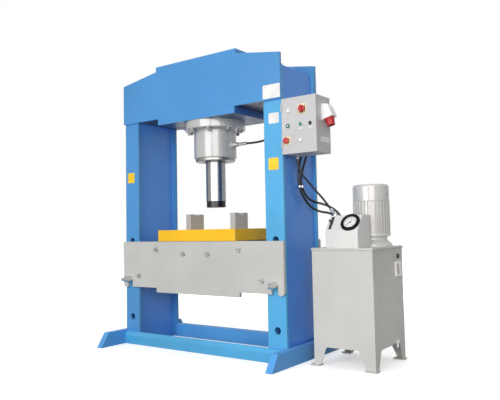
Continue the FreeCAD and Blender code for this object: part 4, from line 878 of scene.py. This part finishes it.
# %% [markdown]
# ## A clamp for the two hoses
# Half-way down the upright two bright clips hold the hoses off the web. Each is a bent strap: flat
# on the web, slanting out to the hose and once round it. The strap's path is drawn in plan at the
# height where the hoses pass. It is found from their splines and not from fixed numbers, so the
# clips follow if a route changes.

# %% Hose clamp
CLAMP_Z = 1108.0
WEB_FACE = PRESS_X + 0.707
STRAP_LIFT = 0.0010
STRAP_RADIUS = 0.0088
STRAP_SLANT = math.radians(126)
STRAP_SECTION = [(-0.7, -7), (0.7, -7), (0.7, 7), (-0.7, 7)]


def crossing(name, height):
    """Where a hose passes a height, on its way down."""
    line = hose_lines[name]
    return line[int(np.argmin(np.abs(line[:, 2] - height / 1000)))]


def strap(centre):
    """Foot on the web, then centre + radius x (cos a, sin a) nearly once round the hose."""
    web = WEB_FACE + STRAP_LIFT
    turn = STRAP_SLANT + np.radians(np.linspace(50, 345, 44))
    ring = np.stack([centre[0] + STRAP_RADIUS * np.cos(turn), centre[1] + STRAP_RADIUS * np.sin(turn)], -1)
    reach = centre[1] + (web - centre[0]) * math.tan(STRAP_SLANT)
    foot = np.array([[web, reach + 0.016], [web, reach + 0.002], [web + 0.004, reach - 0.005]])
    plan = np.concatenate([foot, ring])
    path = np.concatenate([plan, np.full((len(plan), 1), CLAMP_Z / 1000)], axis=1)
    return strip(path, STRAP_SECTION, (0, 0, 1))


bright_zinc = metal("bright_zinc", (0.74, 0.75, 0.76), 0.3, EVEN)
straps = [strap(crossing(name, CLAMP_Z)) for name in ("feed_hose", "return_hose")]
clamp = crisp(tidy_mesh(piece("hose_clamp", straps, bright_zinc, "frame")))
print("clamp", [round(value, 3) for value in clamp.dimensions])

# %% [markdown]
# ## Weld beads
# The frame is welded, and a bead shows in each corner where a plate stands on another. A bump
# texture would show the ripples but leave the corner sharp, so the beads are shapes. A bead is
# round along the corner; its radius swells once per droplet, and each droplet leans forward in
# the middle, which gives the row of crescents that a hand weld leaves.

# %% Weld beads
DROPLET = 0.009
FACE_Y = 210
CORNER_Y = 190
WEB_OUT = 707
WEB_IN = 617
PLATE_IN = 584
PLATE_OUT = 720
UNDER_CROWN = 1660
ON_FEET = 92
OUTER_SEAM = (104, 1884)
INNER_SEAM = (100, 1655)
FOOT_SEAM = (97, 8)


def bead(start, end, normal, radius=4.0, columns=7):
    """Round along a line: radius x (1 + 0.14 |sin|) per droplet, its crown pushed forward."""
    start, end = at(*start), at(*end)
    length = np.linalg.norm(end - start)
    along = (end - start) / length
    normal = np.asarray(normal, float) / np.linalg.norm(normal)
    across = np.cross(along, normal)
    run = np.linspace(0, length, max(8, int(length / DROPLET * 4)))[:, None, None]
    angle = np.linspace(-0.62 * math.pi, 0.62 * math.pi, columns)[None, :, None]
    wander = 1 + 0.06 * np.sin(run * 37) + 0.05 * np.sin(run * 91 + 1)
    swell = radius / 1000 * (1 + 0.14 * np.abs(np.sin(math.pi * run / DROPLET))) * wander
    taper = np.clip(np.minimum(run, length - run) / 0.006, 0.15, 1)
    crescent = 0.35 * DROPLET * np.cos(angle)
    round_it = np.cos(angle) * normal + np.sin(angle) * across
    return start + run * along + along * crescent + swell * taper * round_it, False, True


def seam(x, y, heights, normal, radius):
    """A bead straight up a corner, between two heights."""
    low, high = heights
    return bead((x, y, low), (x, y, high), normal, radius)


beads = []
for side in (-1, 1):
    for face in (-1, 1):
        beads.append(bead((side * PLATE_IN, face * FACE_Y, UNDER_CROWN),
                          (side * PLATE_OUT, face * FACE_Y, UNDER_CROWN), (0, face, -1)))
        beads.append(seam(side * WEB_OUT, face * CORNER_Y, OUTER_SEAM, (side, -face, 0), 3.5))
        beads.append(seam(side * WEB_IN, face * CORNER_Y, INNER_SEAM, (-side, -face, 0), 3.5))
    beads.append(bead((side * PLATE_IN, -FACE_Y, ON_FEET), (side * PLATE_OUT, -FACE_Y, ON_FEET), (0, -1, 1)))
    beads.append(seam(side * 582, 187, FOOT_SEAM, (-side, -1, 0), 3.0))
# The beads take the webs' violet painted shade.
welds = tidy_mesh(piece("frame_welds", beads, shaded_web_coat, "frame"))
print("welds", len(welds.data.polygons), "faces")

# %% [markdown]
# ## Bare plates
# Thin plates are riveted to the frame and to the side of the control box, in white, yellow and
# silver. They could be boxes, but sheet has rounded corners and a fine bevel that catches the
# light. Every plate is the same rounded rectangle, with its own size and place, and four rivets.

# %% Bare plates on the frame and the box
RIGHT = (1, 0, 0)
BACK = (0, 1, 0)
UP = (0, 0, 1)
RIVET = [(2.6, 0.6), (2.4, 1.4), (1.4, 2.0), (0.01, 2.15)]
RIVET_INSET = 6
SHEET = 0.9

plate_white = moulded("plate_white", (0.80, 0.80, 0.78), 0.35, rise=0.00003)
plate_yellow = moulded("plate_yellow", (0.93, 0.62, 0.015), 0.35, rise=0.00003)
plate_silver = moulded("plate_silver", (0.74, 0.74, 0.76), 0.35, rise=0.00003)
# Name, finish, middle, direction of its width, width, height.
PLATES = (
    ("crown_plate", plate_white, (655.5, -227, 1712.5), RIGHT, 133, 89),
    ("upright_plate_white", plate_white, (659.5, -210, 1542), RIGHT, 79, 68),
    ("upright_plate_yellow", plate_yellow, (650.5, -210, 1249.5), RIGHT, 77, 77),
    ("left_plate_yellow", plate_yellow, (-664, -210, 1245.5), RIGHT, 72, 77),
    ("box_side_plate", plate_silver, (974, -117, 1381), BACK, 110, 36),
)


def rivets_of(middle, across, width, height):
    """Four heads: middle + (width/2 - inset) along and (height/2 - inset) up, both ways."""
    heads = []
    for right in (-1, 1):
        for up in (-1, 1):
            along = np.array(across) * right * (width / 2 - RIVET_INSET)
            upward = np.array(UP) * up * (height / 2 - RIVET_INSET)
            heads.append(turned(RIVET, middle + (along + upward) / 1000, np.cross(across, UP), 16))
    return heads


for name, finish, place, across, width, height in PLATES:
    middle = at(*place)
    sheet = plaque(middle, across, UP, width, height, SHEET, corner=4.0, bevel=0.35)
    trim(name, [sheet], finish, "frame")
    rivets = rivets_of(middle, across, width, height)
    tidy_mesh(piece(name + "_rivets", rivets, bright_zinc, "frame"))
print("plates", len(PLATES))

# %% [markdown]
# ## The pressure gauge
# The dial lies on the sloping panel. Its own axes are right, up the slope, and out of the slope.
# The marks are small bars round three quarters of a circle, a long one for each number. They could
# be a picture laid on the dial, but bars stay sharp however near the camera comes.

# %% Gauge dial and marks
SLOPE_Y = 72.0
SLOPE_Z = 94.0
DIAL_TOP = 4.8
DIAL = [(0.01, 4.0), (41.7, 4.0), (41.7, 4.6), (41.3, DIAL_TOP), (0.01, DIAL_TOP)]
ZERO_ANGLE = 225
SWEEP = 270
STEPS = 40
MARK_END = 38.5
# Each mark's inner radius and width.
LONG_MARK = (31.5, 1.1)
HALF_MARK = (34.0, 0.45)
SHORT_MARK = (35.5, 0.45)

slope = np.array([0.0, SLOPE_Y, SLOPE_Z]) / math.hypot(SLOPE_Y, SLOPE_Z)
out_of_slope = np.array([0.0, -slope[2], slope[1]])
dial_middle = at(1105, -66, 865)


def on_dial(right, up, out_of):
    """A point on the dial, in millimetres from its middle."""
    return dial_middle + (right * np.array(RIGHT) + up * slope + out_of * out_of_slope) / 1000


dial_white = moulded("dial_white", (0.86, 0.86, 0.84), rise=0.00001, dusty=0.0)
dial_ink = moulded("dial_ink", (0.01, 0.01, 0.01), 0.5, rise=0.00001, dusty=0.0)
tidy_mesh(piece("gauge_dial", [turned(DIAL, dial_middle, out_of_slope, 72)], dial_white, "frame"))
marks = []
for step in range(STEPS + 1):
    angle = math.radians(ZERO_ANGLE - step * SWEEP / STEPS)
    inner, wide = LONG_MARK if step % 10 == 0 else (HALF_MARK if step % 5 == 0 else SHORT_MARK)
    outward = math.cos(angle) * np.array(RIGHT) + math.sin(angle) * slope
    sideways = -math.sin(angle) * np.array(RIGHT) + math.cos(angle) * slope
    middle = on_dial(0, 0, DIAL_TOP) + outward * (inner + MARK_END) / 2000
    marks.append(plaque(middle, outward, sideways, MARK_END - inner, wide, 0.12, corner=0.15,
                        bevel=0.05, count=2))
tidy_mesh(piece("gauge_marks", marks, dial_ink, "frame", smooth=False))
print("gauge marks", len(marks))

# %% [markdown]
# The numbers are text curves turned into meshes, laid on the dial. They are plain figures, as on
# any gauge. Each is made a mesh before it is turned and moved, so its object stays at the origin.

# %% Gauge figures
FIGURES = ("0", "10", "20", "30", "40")
FIGURE_RADIUS = 25.5

for index, text in enumerate(FIGURES):
    font = bpy.data.curves.new("figure_" + text, "FONT")
    font.body = text
    font.size = 0.0078
    font.align_x = "CENTER"
    font.align_y = "CENTER"
    font.extrude = 0.00006
    carrier = add_object("figure_" + text, font)
    mesh = bpy.data.meshes.new_from_object(carrier.evaluated_get(bpy.context.evaluated_depsgraph_get()))
    bpy.data.objects.remove(carrier)
    angle = math.radians(ZERO_ANGLE - index * SWEEP / 4)
    centre = on_dial(FIGURE_RADIUS * math.cos(angle), FIGURE_RADIUS * math.sin(angle), 4.87)
    turn = Matrix((RIGHT, tuple(slope), tuple(out_of_slope))).transposed().to_4x4()
    mesh.transform(Matrix.Translation(centre) @ turn)
    mesh.materials.clear()
    mesh.materials.append(dial_ink)
    figure = add_object("gauge_figure_" + text, mesh)
    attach(figure, "frame")
print("figures", len(FIGURES))

# %% [markdown]
# The glass is a thin dome over the dial. A full glass shader would bend the view through it and
# need many bounces. A thin pane hardly bends light, so a small alpha is enough: most light passes
# straight through, and the rest is its shine, a little smeared.

# %% Gauge glass
DOME = [(0.01, 9.6), (41.8, 9.6), (41.8, 10.6), (38.0, 11.2), (27.0, 11.9), (13.0, 12.3), (0.01, 12.4)]


def clear_glass(name):
    """Thin clear pane: nearly all light passes straight through, the rest is a smooth shine."""
    material, tree, shader, place = new_material(name)
    smear = noise(tree, place["Object"], 60.0, 3.0)
    fill(tree, shader, {"Alpha": 0.10, "Roughness": ramp(tree, smear, 0.45, 0.75, 0.01, 0.06)})
    return material


tidy_mesh(piece("gauge_glass", [turned(DOME, dial_middle, out_of_slope, 72)],
                clear_glass("gauge_glass_clear"), "frame"))
print("glass in place")

# %% [markdown]
# ## Plates and fields on the control box
# Small bare plates sit below the selector and the lock, and the main switch stands on an ivory
# field with dark olive strips along its right and bottom edges, which are painted shade. All are
# plaques on the door's face, and they ride on the door, so they swing with it.

# %% Plates on the door
DOOR_FACE = -221.0
# Where the devices stand on the door, as (x, z).
SWITCH = (877, 1571)
EMERGENCY_STOP = (766, 1382)
START = (775, 1475)
SELECTOR = (866, 1477)
LOCK = (934, 1476)


def on_door(place, right=0, up=0, lift=0):
    """A point beside a device and in front of the door's face."""
    return at(place[0] + right, DOOR_FACE - lift, place[1] + up)


legend_pale = moulded("legend_pale", (0.64, 0.64, 0.67))
holders = [plaque(on_door(place, up=-25), RIGHT, UP, 27, 11, 1.0, corner=1.2, bevel=0.3, count=5)
           for place in (SELECTOR, LOCK)]
trim("legend_plates", holders, legend_pale, "door")
ivory = moulded("ivory_field", (0.84, 0.82, 0.68))
field = plaque(on_door(SWITCH, lift=4), RIGHT, UP, 54, 54, 0.5, corner=3.0, bevel=0.2)
trim("switch_field", [field], ivory, "door")
# Dark olive strips on the field's right and bottom edges: painted shade.
olive = moulded("olive_painted_shade", (0.075, 0.060, 0.022), 0.5)
edges = [plaque(on_door(SWITCH, *beside, 4.5), RIGHT, UP, *size, 1.2, corner=1.0, bevel=0.3, count=4)
         for beside, size in (((23.5, 0), (4.5, 50)), ((-1, -23.5), (40, 3.5)))]
trim("switch_painted_shade", edges, olive, "door")
print("door plates", len(holders) + 1 + len(edges))

# %% [markdown]
# ## Rings and discs on the control box
# The emergency stop sits on a pale yellow disc. Coloured rings lie on the bezels of the start
# button and the selector, and the start button has a small pale cap that moves with it. A ring is
# a section turned about the button's axis, closed on itself, so it has no hidden faces.

# %% Rings and discs on the door
FORWARD = (0, -1, 0)
# Inner and outer radius, then the heights of its foot and its top over the door.
STOP_DISC = (19.2, 27.0, 0.0, 1.8)
BEZEL_RING = (11.4, 14.4, 5.6, 6.6)
CAP = [(0.01, 0.0), (5.2, 0.0), (5.2, 0.3), (4.6, 0.7), (0.01, 0.8)]


def door_ring(name, place, inner, outer, low, high, material, slot):
    """Flat ring on the door: a rectangle between two radii and two heights, turned about -Y."""
    section = [(inner, low), (outer, low), (outer, high - 0.4), (outer - 0.4, high), (inner, high)]
    grid, _, _ = turned(section, on_door(place), FORWARD)
    return trim(name, [(grid, True, True)], material, "door")


pale_yellow = moulded("pale_yellow", (0.90, 0.76, 0.36))
mint = moulded("pale_mint", (0.55, 0.78, 0.70), 0.35)
door_ring("emergency_disc", EMERGENCY_STOP, *STOP_DISC, pale_yellow, "yellow_plastic")
door_ring("start_ring", START, *BEZEL_RING, teal, "green_plastic")
door_ring("selector_ring", SELECTOR, *BEZEL_RING, mint, "green_plastic")
cap = turned(CAP, on_door(START, lift=8), FORWARD, 32)
trim("start_cap", [cap], mint, "start_push")
print("rings and cap ready")

# %% [markdown]
# ## Screws
# Socket-head screws hold the tank's lid and the fan cowl. A screw head is a small turned profile
# with its hollow, kept to a few faces because there are many. The lid's screws are painted with
# the tank, the cowl's are bright.

# %% Screw heads
LID_TOP = 713
COWL_AXIS = (1119, 205)
COWL_RADIUS = 115


def socket_screw(centre, direction, radius, height, count=20):
    """Turned head: outside up, over the chamfer, and down into the socket."""
    profile = [(radius, 0), (radius, height - 0.8), (radius - 0.8, height), (radius * 0.52, height),
               (radius * 0.5, height * 0.45), (0.01, height * 0.4)]
    return turned(profile, centre, direction, count)


lid_places = [(x, y) for x in (872, 1000, 1128, 1255) for y in (-112, 318)]
lid_places += [(x, y) for y in (30, 175) for x in (869, 1258)]
lid_screws = [socket_screw(at(x, y, LID_TOP), UP, 5.5, 3.5) for x, y in lid_places]
trim("lid_screws", lid_screws, tank_coat, "frame")
cowl_screws = []
for angle in np.radians([45, 135, 225, 315]):
    right, back = math.cos(angle), math.sin(angle)
    place = at(COWL_AXIS[0] + COWL_RADIUS * right, COWL_AXIS[1] + COWL_RADIUS * back, 1010)
    cowl_screws.append(socket_screw(place, (right, back, 0), 4.0, 3.0, 14))
trim("cowl_screws", cowl_screws, bright_zinc, "frame")
print("screws", len(lid_screws) + len(cowl_screws))

# %% [markdown]
# ## A red dot, the sight tube and the wiper
# A small red dot marks the cowl on its right. The level gauge has a dark window with a tube of oil
# in front, and a black wiper ring closes the gland round the rod. They are small, but a press
# without them looks like a drawing.

# %% Dot, level tube and rod wiper
DOT_OUT = np.array([0.996, -0.087, 0.0])
DOT_SIDE = np.array([0.087, 0.996, 0.0])
TUBE = [(0.01, 0), (5.4, 0), (5.4, 1), (5.4, 63), (5.4, 64), (0.01, 64)]
WIPER = [(71.4, -3.0), (78.0, -3.0), (79.0, -2.0), (79.0, 1.0), (71.4, 1.0)]

dot = plaque(at(*COWL_AXIS, 1042) + DOT_OUT * 0.1148, DOT_SIDE, UP, 13, 13, 0.5, corner=6.4, bevel=0.2)
trim("cowl_dot", [dot], red, "frame")
window = plaque(at(1271, 234, 571), BACK, UP, 13, 65, 0.5, corner=3.5, bevel=0.2)
trim("level_window", [window], black, "frame")
oil = moulded("oil_amber", (0.055, 0.032, 0.010), 0.12, grain=30.0, dusty=0.0, coat=0.5)
tidy_mesh(piece("level_tube", [turned(TUBE, at(1272, 234, 539), UP, 24)], oil, "frame"))
wiper_grid, _, _ = turned(WIPER, at(0, 0, 1331), UP, 96)
trim("rod_wiper", [(wiper_grid, True, True)], black, "frame")
print("dot, tube and wiper in place")
